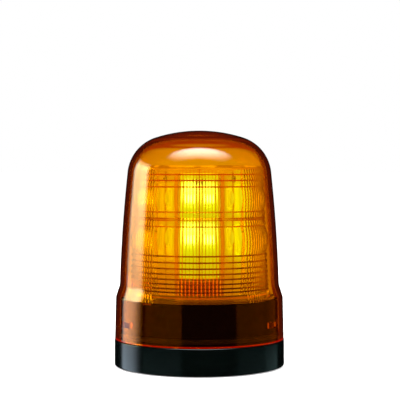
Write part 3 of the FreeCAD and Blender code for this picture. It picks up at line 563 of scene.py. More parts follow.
def amber_plastic(settings):
    """See-through amber: clear skin over an absorbing wall, with light led to the lower rim."""
    material, paint = new_material("amber_plastic")
    place = paint.place()
    height = paint.axes(place)[2]
    ripple = paint.bump(paint.noise(place, scale=45.0, detail=1.0), strength=0.03, distance=0.0004)
    rim_fade = (settings.rim_height + 0.3 * MM, settings.rim_height + 0.9 * MM)
    skin = paint.principled(
        base_color=WHITE, roughness=hazy(paint, place, settings.gloss, scale=60.0, detail=4.0),
        ior=PLASTIC_IOR, transmission_weight=1.0, normal=ripple,
        emission_color=paint.scaled(tuple(settings.rim_glow), paint.falls(height, rim_fade)),
        emission_strength=1.0,
    )
    wall = paint.node("ShaderNodeVolumeAbsorption", inputs={
        "Color": solid(settings.absorbed), "Density": settings.density,
    })
    paint.show(skin, Volume=wall)
    return material


def clear_plastic(settings):
    """Clear plastic with a faint haze: painted shade on narrow edges, painted light at its cover, rims, lips
    and flute lands.
    """
    material, paint = new_material("clear_plastic")
    place = paint.place()
    height, radius = paint.axes(place)[2], paint.radius(place)

    def part(share, above=None, below=None, outside=None, inside=None):
        """A share of light times a step for each height or radius it keeps to, in millimetres."""
        steps = (
            (paint.rises, height, above), (paint.falls, height, below),
            (paint.rises, radius, outside), (paint.falls, radius, inside),
        )
        for step, value, ends in steps:
            if ends:
                share = share * step(value, [end * MM for end in ends])
        return share

    # Painted shade on narrow faces follows this share; lands within a band of it also get painted light.
    edge = paint.node("ShaderNodeAttribute", {"attribute_name": "edge"}, output="Fac")
    lip = part(share=0.4, above=(42.3, 42.8), below=(43.0, 43.4))
    foot = part(share=0.02, below=(41.0, 43.0), outside=(42.0, 43.0))
    hem = part(share=0.4, below=(39.2, 39.6), outside=(43.6, 44.0))
    land = part(share=1.7, above=(42.0, 46.0), below=(52.5, 56.5), inside=(38.3, 38.8))
    land = land * paint.rises(edge, LAND_LEAST) * paint.falls(edge, LAND_MOST)
    broken = paint.between(paint.noise(place, scale=160.0, detail=1.0), (0.4, 0.6), 0.25, 1.0)
    rim = part(share=broken, above=(116.2, 116.8), outside=(33.0, 34.5))
    cover = paint.mix(rim, settings.cover_glow, settings.rim_glow)
    glow = paint.scaled(tuple(settings.glow), LENS_LIGHT + foot + lip + hem + land)
    paint.show(paint.principled(
        base_color=paint.mix(edge, settings.clear, settings.edge),
        roughness=hazy(paint, place, settings.gloss, scale=90.0, detail=3.0) + EDGE_GLOSS * edge,
        ior=PLASTIC_IOR, transmission_weight=1.0,
        emission_color=paint.mix(part(share=1.0, above=(115.2, 115.5)), glow, cover), emission_strength=1.0,
    ))
    return material


def moulded(name, base, gloss, glow=(0.0, 0.0, 0.0)):
    """Moulded plastic or rubber: fine grain, cloudy gloss, slightly uneven colour, a glow if lit."""
    material, paint = new_material(name)
    place = paint.place()
    cloud, tint = clouded(paint, place, base, 0.75, 1.3)
    paint.show(paint.principled(
        base_color=tint, roughness=paint.between(cloud, CLOUD, 0.85 * gloss, 1.15 * gloss),
        normal=grained(paint, place), emission_color=glow, emission_strength=1.0,
    ))
    return material


def black_plastic(settings):
    """Black moulding: polished on the ring, plain on the drum under the skirt."""
    material, paint = new_material("black_plastic")
    place = paint.place()
    drum_edge = (settings.drum_radius + 0.2 * MM, settings.drum_radius + 0.6 * MM)
    polish = paint.rises(paint.radius(place), drum_edge)
    cloud, tint = clouded(paint, place, settings.black, 0.7, 1.3)
    paint.show(paint.principled(
        base_color=tint, roughness=paint.between(cloud, CLOUD, 0.4, 0.5), specular_ior_level=0.0,
        normal=grained(paint, place), coat_weight=polish * paint.between(cloud, (0.2, 0.8), 0.9, 1.0),
        coat_roughness=settings.gloss,
    ))
    return material


def metal(name, base, gloss):
    """Drawn or turned metal: fine level streaks in gloss and tone."""
    material, paint = new_material(name)
    stretched = paint.node("ShaderNodeVectorMath", {"operation": "MULTIPLY"}, {
        0: paint.place(), 1: (1.0, 1.0, 12.0),
    })
    streaks = paint.noise(stretched, scale=300.0, detail=4.0)
    paint.show(paint.principled(
        base_color=paint.mix(streaks, shaded(base, 0.8), shaded(base, 1.1)),
        roughness=paint.between(streaks, CLOUD, 0.7 * gloss, 1.3 * gloss), metallic=1.0,
        normal=paint.bump(streaks, strength=0.05, distance=0.0001),
    ))
    return material


# How a board is lit: its level, how much more to its right, the height in millimetres under which only
# an unlit share is left, the share of light in its lamps' cores, and how far its light keeps to spots.
BoardLight = namedtuple("BoardLight", "level slope foot unlit core spot")


class BoardGlow:
    """Light on a lamp board: its tints from none to full, and the ends and shares of its parts."""

    tints = (
        (0.0, (0.09, 0.0, 0.0)), (0.09, (0.36, 0.09, 0.0)), (0.4, (0.46, 0.36, 0.0)),
        (0.82, (0.52, 0.82, 0.01)), (1.0, (0.50, 1.0, 0.02)),
    )
    full = 1.1
    slope_span = 12.0 * MM
    foot_fade = 3.0 * MM
    # The least share of white left in a board's colour on its foot, which is painted shade.
    foot_shade_least = 0.16
    track = (0.6 * MM, 1.1 * MM)
    track_share = 0.1
    side = (1.1 * MM, 0.4 * MM)
    side_share = 0.3
    halo_half = (5.0 * MM, 7.0 * MM)
    halo_share = 0.75
    halo_slope = -0.25
    dome_half = (2.3 * MM, 2.3 * MM)
    dome_fade = (0.1, 0.8)


def above_foot(paint, place, light, least):
    """A least share on a board's foot, which is painted shade there, and all above it."""
    foot = light.foot * MM
    return paint.between(paint.axes(place)[2], (foot, foot + BoardGlow.foot_fade), least, 1.0)


def from_lamp(paint, place, settings, half, lift=0.0):
    """How far a place is from the nearest lamp: its parts over half sizes, squared and summed."""
    across, _, height = paint.axes(place)
    middle = (settings.lower_row + settings.upper_row) / 2 + lift
    aside = abs(across) - settings.spread
    rise = abs(height - middle) - (settings.upper_row - settings.lower_row) / 2
    return aside * aside / half[0] ** 2 + rise * rise / half[1] ** 2


def board_light(paint, place, light, settings):
    """Light on a board: spots and halos about the lamps, a dim foot, dark sides and a dark middle track."""
    across, _, height = paint.axes(place)
    aside = abs(across) - settings.spread
    lower, upper = [
        1 / (1 + (aside * aside + (height - row) * (height - row)) / settings.reach ** 2)
        for row in (settings.lower_row, settings.upper_row)
    ]
    spots = BoardGlow.full - light.spot + light.spot * (lower + upper)
    track = paint.between(abs(across), BoardGlow.track, BoardGlow.track_share, 1.0)
    side = [settings.board_half - inset for inset in BoardGlow.side]
    sides = paint.between(abs(across), side, 1.0, BoardGlow.side_share)
    lean = 1 + (light.slope / BoardGlow.slope_span) * across
    lit = above_foot(paint, place, light, light.unlit)
    wash = paint.ramp(light.level * lit * track * sides * lean * spots, BoardGlow.tints)
    off = from_lamp(paint, place, settings, BoardGlow.halo_half, settings.halo_lift)
    halo = paint.falls(off, (0.0, 1.0))
    strength = BoardGlow.halo_share + (BoardGlow.halo_slope / settings.spread) * across
    strength = light.core * settings.halo_strength * track * strength
    return paint.added(wash, paint.scaled(tuple(settings.core), strength * halo * halo))


def lit_board(turn, light, settings):
    """White lamp board whose painted light stands for its lamps' light, with painted shade on its foot in
    both its colour and its light.
    """
    material, paint = new_material(f"white_board_{int(turn)}")
    place = paint.place(turn)
    fibre = paint.noise(place, scale=400.0, detail=3.0)
    # Painted shade: the board's colour darkens on its foot, less where more of its light is left there.
    least = min(1.0, BoardGlow.foot_shade_least + 2 * light.unlit)
    white = paint.mix(fibre, (0.78, 0.78, 0.74), (0.88, 0.88, 0.85))
    glow = paint.scaled(board_light(paint, place, light, settings), 0.9 + 0.2 * fibre)
    paint.show(paint.principled(
        base_color=paint.scaled(white, above_foot(paint, place, light, least)), roughness=0.35,
        emission_color=glow, emission_strength=settings.board_strength,
    ))
    return material


def lit_lamp(turn, light, settings):
    """Lamp: a dome with a bright core on a package lit as its board is."""
    material, paint = new_material(f"lamp_{int(turn)}")
    place = paint.place(turn)
    off = from_lamp(paint, place, settings, BoardGlow.dome_half)
    hot = paint.between(off, BoardGlow.dome_fade, light.core * settings.lamp_strength, 0.0)
    glow = paint.added(board_light(paint, place, light, settings), paint.scaled(tuple(settings.core), hot))
    paint.show(paint.principled(
        base_color=(0.85, 0.83, 0.7), roughness=0.3, emission_color=glow,
        emission_strength=settings.board_strength,
    ))
    return material


# Operators, one for each piece or group of like pieces.
class BEACON_OT_globe(Operator):
    """Amber globe: a bowed dome over a drafted skirt, with three bayonet lugs inside"""

    bl_idname = "beacon.globe"
    bl_label = "Globe"

    lug_heights = (24.7 * MM, 27.9 * MM)
    lug_tip = 45.0 * MM
    lug_starts = thirds(85.5)
    lug_angle = 9.0
    neck_run = 9.0 * MM
    skirt_rounds = (3.0 * MM, 6.0 * MM)
    rim_round = 0.25 * MM
    rim_steps = 4
    wall_steps = 24
    corner_steps = 22
    crown_steps = 26
    turn_steps = 180
    first_lean = 0.1
    repeats = 40

    def outline(self, settings, top):
        """Skirt and shoulder as a softened line, then three arcs: bowed wall, corner and crown.

        The corner touches the crown from inside and the wall at its own lean, so the arcs meet without
        a kink; the lean is where the wall's chord and bow agree with it, found by repeating.
        """
        corner, crown, bow = settings.corner_radius, settings.crown_radius, settings.bow_radius
        neck = np.array((settings.neck_radius, settings.neck_height))
        crown_middle = np.array((0.0, top - crown))
        lean = self.first_lean
        for _ in range(self.repeats):
            across = settings.dome_radius - corner * math.cos(lean)
            corner_middle = crown_middle + (across, math.sqrt((crown - corner) ** 2 - across ** 2))
            chord = corner_middle + corner * np.array((math.cos(lean), math.sin(lean))) - neck
            lean = math.atan2(-chord[0], chord[1]) + math.asin(np.linalg.norm(chord) / (2 * bow))
        bow_middle = corner_middle - (bow - corner) * np.array((math.cos(lean), math.sin(lean)))
        bow_end = math.degrees(lean)
        bow_start = math.degrees(math.asin((settings.neck_height + self.neck_run - bow_middle[1]) / bow))
        corner_end = math.degrees(math.atan2(*(corner_middle - crown_middle)[::-1]))
        wall = arc(bow_middle, bow, bow_start, bow_end, self.wall_steps)
        rim = (settings.rim_radius, settings.rim_height)
        shoulder = (settings.shoulder_radius, settings.shoulder_height)
        skirt = softened([rim, shoulder, neck, wall[0]], self.skirt_rounds)
        bend = arc(corner_middle, corner, bow_end, corner_end, self.corner_steps)
        cover = arc(crown_middle, crown, corner_end, 90.0, self.crown_steps)
        return np.vstack((skirt, wall[1:], bend[1:], cover[1:]))

    def execute(self, context):
        settings = context.scene.beacon.globe
        line = self.outline(settings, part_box("globe")[1].z)
        slope = np.gradient(line, axis=0)
        slope /= np.linalg.norm(slope, axis=1, keepdims=True)
        slope[-1] = (-1.0, 0.0)
        inner = line - settings.wall * np.column_stack((slope[:, 1], -slope[:, 0]))
        inner[0, 1] = line[0, 1]
        line[-1, 0] = inner[-1, 0] = 0.0
        low, high = self.lug_heights
        inner = divided(inner, np.array((low - EDGE_STEP, low, high, high + EDGE_STEP)))
        rounds = (self.rim_round, self.rim_round)
        ends = softened([inner[1], inner[0], line[0], line[1]], rounds, self.rim_steps)[1:-1]
        rows = np.vstack((inner[:0:-1], ends, line[1:]))
        radius, height = rows[:, :1], rows[:, 1:]
        angles = full_turn(self.turn_steps, self.lug_starts, self.lug_starts + self.lug_angle)
        inside = np.arange(len(rows))[:, None] < len(inner)
        lug = inside & (height >= low) & (height <= high)
        lug = lug & in_sectors(angles, self.lug_starts, self.lug_angle)
        grid = turned(np.where(lug, self.lug_tip, radius), height, angles)
        make_piece("amber_globe", [grid], amber_plastic(settings), "globe", ["globe"])
        return {"FINISHED"}


class BEACON_OT_lens(Operator):
    """Clear prism lens: two bowed belts between prism rings, a fluted bore, a flange with raised lips"""

    bl_idname = "beacon.lens"
    bl_label = "Prism lens"

    deck = 39.0 * MM
    flange_top = 41.2 * MM
    flange_radius = 44.3 * MM
    lip_radius = 43.2 * MM
    lip_top = 42.9 * MM
    lip_starts = thirds(252.5)
    lip_angle = 61.0
    lean_start = 45.2 * MM
    lean_end = 114.0 * MM
    lower_belt = (66.95 * MM, 82.75 * MM)
    upper_belt = (91.75 * MM, 105.15 * MM)
    belt_steps = 12
    ring_height = 3.6 * MM
    ring_ratio = 0.93
    lower_rings = 8
    upper_rings = 3
    top = 117.6 * MM
    top_round = 2.0 * MM
    top_steps = 11
    ceiling = 115.6 * MM
    bore_steps = 9
    flute_pitch = 3.3
    flute_share = 0.94
    flute_cuts = 8
    gap_half = 11.0
    gap_steps = 7
    crease = 12.0
    # Narrow faces: a ring's step goes most of its depth in little height; lands lie at a flute's side.
    step_depth = 0.8
    step_height = 1.2
    land = (0.75, 1.2)
    # Painted shade on the bore: lands at the front darker than those at the sides, and a dark line down the
    # front's middle.
    land_shade = 0.4
    side_land_shade = 0.08
    front_line_half = 0.8
    front_line_shade = 0.8

    def tip(self, settings, height, inset=0.0):
        """Radius at a height: it falls evenly from the foot to the top, less the inset."""
        height = np.atleast_1d(np.asarray(height, float))
        part = (height - self.lean_start) / (self.lean_end - self.lean_start)
        return np.column_stack((settings.foot_radius - settings.lean * part - inset, height))

    def belt(self, settings, start, end):
        """A belt bows out: an arc of the belt radius through both its root edges."""
        low, high = self.tip(settings, (start, end), settings.ring_depth)
        chord = high - low
        half = np.linalg.norm(chord) / 2
        out = np.array((chord[1], -chord[0])) / (2 * half)
        centre = (low + high) / 2 - out * math.sqrt(settings.belt_radius ** 2 - half ** 2)
        ends = [math.degrees(math.atan2(*(point - centre)[::-1])) for point in (low, high)]
        return arc(centre, settings.belt_radius, *ends, self.belt_steps)

    def steps(self, count):
        """Heights of the prism edges counted from a belt: each ring is a little lower than the last."""
        return self.ring_height * (1 - self.ring_ratio ** np.arange(count + 1)) / (1 - self.ring_ratio)

    def outline(self, settings):
        """Outside from the flange up: saw-tooth rings, belt, spacer, belt, saw-tooth rings, cover."""
        depth, draft = settings.ring_depth, settings.ring_draft
        below = self.lower_belt[0] - self.steps(self.lower_rings)[::-1]
        above = self.upper_belt[1] + self.steps(self.upper_rings)
        lower_teeth = (self.tip(settings, below[:-1], depth), self.tip(settings, below[1:] - draft))
        upper_teeth = (self.tip(settings, above[:-1] + draft), self.tip(settings, above[1:], depth))
        spacer_low = self.lower_belt[1] + self.ring_height
        spacer_high = self.upper_belt[0] - self.ring_height
        spacer = np.vstack((
            self.tip(settings, self.lower_belt[1] + draft), self.tip(settings, spacer_low, depth),
            self.tip(settings, (spacer_low + draft, spacer_high - draft)),
            self.tip(settings, spacer_high, depth), self.tip(settings, self.upper_belt[0] - draft),
        ))
        wall = np.vstack((
            np.stack(lower_teeth, 1).reshape(-1, 2), self.belt(settings, *self.lower_belt), spacer,
            self.belt(settings, *self.upper_belt), np.stack(upper_teeth, 1).reshape(-1, 2),
        ))
        corner = (wall[-1, 0], self.top)
        cover = softened([wall[-1], corner, (0.0, self.top)], (self.top_round,), self.top_steps)
        return np.vstack((wall, cover[1:]))

    def ring_edges(self, settings, outside):
        """One for each run of the outside that is the step between two rings."""
        across, up = np.abs(np.diff(outside, axis=0)).T
        deep = across > self.step_depth * settings.ring_depth
        return deep & (up < self.step_height * settings.ring_draft)

    def bore_edges(self, angles, flutes, half):
        """Painted edge shade between each angle and the next: lands beside flutes, and a dark line painted
        down the front's middle.
        """
        turn = np.diff(np.concatenate((angles, angles[:1] + 2 * np.pi)))
        middle = np.degrees(angles + turn / 2)
        off = from_nearest(middle, flutes) / half
        land = (off > self.land[0]) & (off < self.land[1])
        front = from_nearest(middle, (FRONT,))
        tint = np.where(front < FACE_TURN / 2, self.land_shade, self.side_land_shade) * land
        return np.where(front < self.front_line_half, self.front_line_shade, tint)

    def execute(self, context):
        settings = context.scene.beacon.lens
        outside = self.outline(settings)
        foot = np.array((
            (self.flange_radius, self.deck), (self.flange_radius, self.lip_top),
            (self.lip_radius, self.lip_top), (self.lip_radius - EDGE_STEP, self.flange_top),
            (outside[0, 0], self.flange_top),
        ))
        rows = np.vstack((foot, outside))
        bore = self.tip(settings, np.linspace(self.ceiling, self.deck, self.bore_steps), settings.wall)
        fronts = FRONT + FACE_TURN * np.arange(FACES)[:, None]
        offsets = (np.arange(settings.flutes) - (settings.flutes - 1) / 2) * self.flute_pitch
        flutes = (fronts + offsets).ravel() % 360
        half = self.flute_pitch * self.flute_share / 2
        cuts = np.linspace(-half, half, self.flute_cuts + 1)
        gaps = fronts + FACE_TURN / 2 + np.linspace(-self.gap_half, self.gap_half, self.gap_steps)
        ends = np.concatenate((self.lip_starts, self.lip_starts + self.lip_angle))
        angles = around(flutes[:, None] + cuts, gaps, ends - EDGE_ANGLE, ends + EDGE_ANGLE)
        aside = from_nearest(np.degrees(angles), flutes) / half
        cut_in = settings.flute_depth * np.maximum(1 - aside ** 2, 0.0)
        pole = turned(0.0, self.ceiling, angles[None, :])
        inner = turned(bore[:, :1] + cut_in, bore[:, 1:], angles)
        lip = in_sectors(angles, self.lip_starts, self.lip_angle)
        lowered = (rows[:, 1:] == self.lip_top) & ~lip
        outer = turned(rows[:, :1], np.where(lowered, self.flange_top, rows[:, 1:]), angles)
        grid = np.concatenate((pole, inner, outer))
        # Painted shade for each face: bore lands and the front's middle line, and the steps between rings
        # outside.
        edge = np.zeros((len(grid) - 1, len(angles)))
        edge[1:len(inner)] = self.bore_edges(angles, flutes, half)
        edge[1 - len(outside):] = self.ring_edges(settings, outside)[:, None]
        make_piece(
            "prism_lens", [grid], clear_plastic(settings), "base", ["inner_lens"],
            crease=self.crease, edge=edge,
        )
        return {"FINISHED"}


# An upright post, in millimetres and degrees: one of three on a circle.
Post = namedtuple("Post", "radius circle start foot")


class BEACON_OT_base(Operator):
    """Black base: stepped ring, drum with seal groove and bayonet slots, and the posts inside"""

    bl_idname = "beacon.base"
    bl_label = "Base"

    rim = 0.6 * MM
    ring_bore = 47.0 * MM
    drum_bore = 43.2 * MM
    ceiling = 13.0 * MM
    deck_under = 36.5 * MM
    groove_radius = 44.32 * MM
    groove = (18.0 * MM, 20.8 * MM)
    slot = (24.3 * MM, 28.3 * MM)
    slot_radius = 44.6 * MM
    slot_starts = thirds(85.0)
    slot_angle = 30.0
    entry_angle = 20.0
    foot_round = 0.8 * MM
    top_round = 0.5 * MM
    round_steps = 8
    turn_steps = 240
    crease = 50.0
    posts = (Post(6.0, 38.0, 90.0, 5.6), Post(4.1, 40.0, 30.0, 5.6), Post(3.2, 26.4, 30.0, 28.0))
    post_steps = 32
    post_top = 1.0 * MM

    def outline(self, settings):
        """Section from the deck's underside down the bore, up the ring and drum, and back over the deck."""
        ring, drum, deck = settings.ring_radius, settings.drum_radius, settings.deck_top
        groove_low, groove_high = self.groove
        slot_low, slot_high = self.slot
        # Each corner is a radius, a height and a rounding.
        corners = np.array((
            (0.0, self.deck_under, 0.0), (self.drum_bore, self.deck_under, 0.0),
            (self.drum_bore, self.ceiling, 0.0), (self.ring_bore, self.ceiling, 0.0),
            (self.ring_bore, self.rim, 0.0), (ring, self.rim, self.foot_round),
            (ring, settings.ring_top, self.top_round), (drum, settings.ring_top, 0.0),
            (drum, groove_low, 0.0), (self.groove_radius, groove_low, 0.0),
            (self.groove_radius, groove_high, 0.0), (drum, groove_high, 0.0),
            (drum, slot_low - EDGE_STEP, 0.0), (drum, slot_low, 0.0),
            (drum, slot_high, 0.0), (drum, slot_high + EDGE_STEP, 0.0),
            (drum, settings.rim_top, self.top_round), (self.slot_radius, settings.rim_top, 0.0),
            (self.slot_radius, deck, 0.0), (0.0, deck, 0.0),
        ))
        return softened(corners[:, :2], corners[1:-1, 2], self.round_steps)

    def execute(self, context):
        settings = context.scene.beacon.base
        deck = settings.deck_top
        line = self.outline(settings)
        radius, height = line[:, :1], line[:, 1:]
        slots, entries = self.slot_starts, self.slot_starts + self.entry_angle
        angles = full_turn(self.turn_steps, slots, slots + self.slot_angle, entries)
        slot = in_sectors(angles, slots, self.slot_angle)
        entry = in_sectors(angles, entries, self.slot_angle - self.entry_angle)
        low, high = self.slot
        cut = (slot & (height >= low) & (height <= high)) | (entry & (height >= low))
        radius = np.where(cut & (radius > self.slot_radius), self.slot_radius, radius)
        height = np.where(entry, np.minimum(height, deck), height)
        shells = [turned(radius, height, angles)]
        for post in self.posts:
            wide, foot, top = post.radius * MM, post.foot * MM, deck - self.post_top
            section = np.array(((0.0, foot), (wide, foot), (wide, top), (0.0, top)))
            upright = turned_line(section, full_turn(self.post_steps))
            for turn in np.radians(thirds(post.start)):
                shells.append(upright + post.circle * MM * np.array((math.cos(turn), math.sin(turn), 0.0)))
        make_piece(
            "black_base", shells, black_plastic(settings), "base", ["base_housing"],
            crease=self.crease,
        )
        return {"FINISHED"}


class BEACON_OT_tower(Operator):
    """Lamp tower: lit boards and lamps, a lit cap, a grey foot and a bare column"""

    bl_idname = "beacon.tower"
    bl_label = "Lamp tower"

    front = BoardLight(level=0.97, slope=-0.06, foot=55.5, unlit=0.02, core=1.0, spot=0.4)
    right = BoardLight(level=0.73, slope=0.25, foot=59.0, unlit=0.8, core=0.01, spot=0.8)
    back = BoardLight(level=0.6, slope=0.0, foot=50.0, unlit=0.35, core=0.01, spot=0.4)
    left = BoardLight(level=0.46, slope=0.3, foot=58.0, unlit=0.9, core=0.0, spot=0.8)
    lights = (front, right, back, back, back, left)
    white = (0.7, 0.7, 0.66)

    def execute(self, context):
        settings = context.scene.beacon.lamps
        for n, light in enumerate(self.lights):
            turn = FACE_TURN * n
            dress(lit_board(turn, light, settings), f"lamp_board_{n + 1}")
            dress(lit_lamp(turn, light, settings), f"lamps_{n + 1}")
        dress(moulded("white_plastic", self.white, 0.4), "link_board")
        dress(moulded("grey_plastic", (0.2, 0.2, 0.19), 0.4), "tower_foot")
        dress(moulded("lit_plastic", self.white, 0.4, glow=(0.7, 0.4, 0.0)), "tower_cap")
        dress(metal("aluminium", (0.80, 0.81, 0.82), 0.35), "heat_column")
        dress(moulded("green_board", (0.012, 0.10, 0.035), 0.35), "driver_board")
        dress(
            metal("steel", (0.56, 0.56, 0.55), 0.25), "lamp_board_screws", "foot_screws", "tie_screw",
            "lens_screws", "board_screws", "plate_screws", "link_pins", "terminal_pins",
        )
        return {"FINISHED"}


class BEACON_OT_fittings(Operator):
    """Seal, gasket, grommet, plate, inserts and the driver's parts"""

    bl_idname = "beacon.fittings"
    bl_label = "Fittings"

    def execute(self, context):
        black = tuple(context.scene.beacon.base.black)
        rubber = moulded("black_rubber", (0.012, 0.012, 0.012), 0.6)
        dress(rubber, "globe_seal", "base_gasket", "cable_grommet")
        dress(moulded("plate_plastic", black, 0.42), "bottom_plate", "link_header")
        dress(metal("brass", (0.72, 0.50, 0.19), 0.3), "mount_inserts")
        dress(moulded("capacitor_sleeve", (0.02, 0.025, 0.05), 0.3), "capacitors")
        dress(moulded("choke_black", (0.02, 0.02, 0.021), 0.5), "choke", "driver_chips")
        dress(moulded("terminal_green", (0.02, 0.22, 0.07), 0.4), "terminal_block")
        dress(moulded("button_orange", (0.8, 0.19, 0.01), 0.4), *numbered("release_button", BUTTONS))
        return {"FINISHED"}


class BEACON_OT_springs(Operator):
    """Button springs: round wire wound up a helix, one for each release button"""

    bl_idname = "beacon.springs"
    bl_label = "Button springs"

    wire = 0.2 * MM
    turns = 5
    cuts = 24
    sides = 10

    def coil(self, low, high):
        """A circle of wire carried up a helix, whose height follows its angle; its ends close to a point."""
        middle = (low + high) / 2
        part = np.linspace(0, 1, self.turns * self.cuts + 1)[:, None]
        part = np.vstack((part[:1], part, part[-1:]))
        wire = np.full_like(part, self.wire)
        wire[[0, -1]] = 0.0
        side = np.linspace(0, 2 * np.pi, self.sides, endpoint=False)[None, :]
        radius = (high[0] - low[0]) / 2 - self.wire + wire * np.cos(side)
        height = low[2] + self.wire + (high[2] - low[2] - 2 * self.wire) * part + wire * np.sin(side)
        return turned(radius, height, 2 * np.pi * self.turns * part) + np.array((middle[0], middle[1], 0.0))

    def execute(self, context):
        steel = metal("spring_steel", (0.56, 0.56, 0.55), 0.25)
        press = {joint["child"]: joint for joint in frame["joints"]}
        for n in range(BUTTONS):
            node, joint = f"button_spring_{n + 1}", press[f"button_{n + 1}"]
            low, high = (np.array(corner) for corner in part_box(node))
            piece = make_piece(f"spring_{n + 1}", [self.coil(low, high)], steel, "base", [node])
            keep = 1 - joint["range_m"][1] / (high[2] - low[2])
            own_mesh(piece)
        return {"FINISHED"}


class BEACON_OT_stage(Operator):
    """Camera, pale floor, white surround, softboxes and the cards of a dark room"""

    bl_idname = "beacon.stage"
    bl_label = "Stage"

    sensor = 36.0
    clip = (0.01, 50.0)
    aim_height = 0.07
    floor_half = 40.0
    floor_lift = 0.36
    ambient = 0.8
    room_radius = 1.7
    room_floor = -1.0
    room_top = 2.2
    room_steps = 73
    room_light = 0.004
    sheet_steps = 25
    # The room's walls: name, both ends in degrees, low light and warm light.
    walls = (
        ("left_wall", 188, 246, 0.2, 1.15), ("right_wall", 322, 370, 0.14, 0.9),
        ("right_screen", 370, 404, 0.3, 0.6),
    )
    wall_fade = (-0.225, -0.195)
    wall_amber = (1.0, 0.58, 0.1)
    flag_amber = (1.0, 0.24, 0.05)
    cool = (0.6, 1.0, 1.0)
    cream = (1.05, 1.28, 0.92)
    sky = (0.67, 0.84, 1.0)
    # Counts of surfaces past which a ray is further in, among the lens and inmost, and the light there.
    further_depth = 2.0
    lens_depth = 5.0
    lens_light = 1.3
    inmost_depth = 6.0
    inmost_light = 1.0
    # The tall softbox: where its back and front come in, in degrees, and its light from foot to top.
    strip_power = 7.0
    strip_back = (-42, -30)
    strip_front = (-26, -8)
    strip_foot = -0.3
    strip_tall = 1.3
    strip_rise = (
        (0.06, 0.40), (0.1, 0.24), (0.16, 0.24), (0.31, 0.42), (0.45, 0.68), (0.58, 0.82), (0.66, 0.75),
        (0.84, 0.0),
    )
    # The overhead softbox: where its light fades, and the bend of its back and front.
    pool_power = 16.0
    pool_back = (-0.26, -0.06)
    pool_back_bend = 0.2
    pool_front = (-1.25, -0.25)
    pool_front_bend = 0.1
    pool_sides = (0.1, 1.35)

    def softbox(self, name, power, angle, rise, distance, width, height):
        """A soft lamp that looks at the beacon from an angle round it and a rise, both in degrees."""
        data = bpy.data.lights.new(name, "AREA")
        data.shape = "RECTANGLE"
        data.size, data.size_y, data.energy = width, height, power
        lamp = placed(name, data)
        angle, rise = math.radians(angle), math.radians(rise)
        level = math.cos(rise)
        way = np.array((math.cos(angle) * level, math.sin(angle) * level, math.sin(rise)))
        lamp.location = way * distance + np.array((0.0, 0.0, self.aim_height))
        lamp.rotation_euler = (math.pi / 2 - rise, 0.0, angle + math.pi / 2)
        lamp.visible_camera = lamp.visible_glossy = lamp.visible_transmission = False

    @staticmethod
    def sheet(name, grid, material):
        """An open grid as a piece of the stage."""
        mesh = bpy.data.meshes.new(name)
        faces = grid_faces(*grid.shape[:2], closed=False)
        mesh.from_pydata(grid.reshape(-1, 3).tolist(), [], faces.tolist())
        mesh.materials.append(material)
        made = placed(name, mesh)
        return made

    def upright(self, near, low, high, start, end):
        """A curved upright sheet: a share of the room's radius carried round from one angle to another."""
        radius = self.room_radius * near
        angles = np.radians(np.linspace(start, end, self.sheet_steps))
        return turned_line(np.array(((radius, low), (radius, high))), angles)

    @staticmethod
    def level(across, along, height):
        """A level sheet between two values across and two along."""
        across, along = np.array(across)[None, :], np.array(along)[:, None]
        return np.stack(np.broadcast_arrays(across, along, height), -1)

    def card(
        self, name, grid, first, warm=0.0, through=None, fade=None, tint=WHITE, deep=0.0, amber=flag_amber
    ):
        """A sheet of the dark room round the beacon, which the camera and plain surfaces don't see.

        A ray that has met an odd count of surfaces was turned back by one: it finds the first light,
        further in a deeper share of it and the warm light too, and among the lens the inmost light. An
        even count has gone through the lit lens, or through the globe alone to the white surround or a
        warm flag before it, which fades out between two angles. Light for plain surfaces inside is the
        surround's own.
        """
        material, paint = new_material(name)
        x, y, z = paint.axes(paint.place())
        met = paint.path("Ray Depth")
        plain = met.math("MINIMUM", paint.path("Diffuse Depth"), 1.0)
        back = met.math("MODULO", met, 2.0)
        further, lens, inmost = [
            met.math("GREATER_THAN", met, depth)
            for depth in (self.further_depth, self.lens_depth, self.inmost_depth)
        ]
        straight = (1 - back) * (1 - lens)
        light = first(paint, x, y, z) if callable(first) else first
        light = back * (light * (1 + deep * further) + self.inmost_light * inmost)
        light = light + self.lens_light * (1 - back) * lens
        glow = warm * back * further
        if through is None:
            light = light + straight
        else:
            cover = paint.falls(x.math("ARCTAN2", y, x), np.radians(fade)) if fade else 1.0
            light = light + straight * (1 - cover)
            glow = glow + through * straight * cover
        bare = paint.emission(paint.mix(back, WHITE, tint), light + plain * (self.ambient - light))
        led = paint.emission(paint.mix(back, self.flag_amber, amber), glow * (1 - plain))
        paint.show_both(bare, led)
        made = self.sheet(name, grid, material)
        made.visible_camera = made.visible_diffuse = made.visible_shadow = False

    def strip(self, back, front, start, end):
        """Light of the tall softbox: a share at its back, more at its front, fading from start to end."""
        def light(paint, x, y, z):
            angle = x.math("ARCTAN2", 0 - y, 0 - x)
            across = paint.between(angle, np.radians(self.strip_back), 0.0, back)
            across = across + paint.between(angle, np.radians(self.strip_front), 0.0, front)
            side = paint.falls(angle, np.radians((start, end)))
            rise = paint.ramp((z - self.strip_foot) / self.strip_tall, self.strip_rise)
            return self.strip_power * across * side * rise
        return light

    def pool(self, paint, x, y, z):
        """Light of the overhead softbox: brightest near its bent back, fading to the front and sides."""
        back = paint.falls(y + self.pool_back_bend * x * x, self.pool_back)
        front = paint.rises(y + self.pool_front_bend * x * x, self.pool_front)
        return self.pool_power * back * front * paint.falls(abs(x), self.pool_sides)

    def low(self, level):
        """A light of the lower room alone, which the base ring mirrors."""
        return lambda paint, x, y, z: paint.between(z, self.wall_fade, level, 0.0)

    def floor(self, settings):
        """A level pale floor that shows near white to the camera and keeps the shadow."""
        material, paint = new_material("pale_floor")
        matte = paint.node("ShaderNodeBsdfDiffuse", inputs={"Color": solid(settings.floor)})
        paint.show_both(matte, paint.emission(WHITE, self.floor_lift * paint.path("Is Camera Ray")))
        ends = (-self.floor_half, self.floor_half)
        made = self.sheet("floor", self.level(ends, ends, 0.0), material)
        made.visible_glossy = made.visible_transmission = False

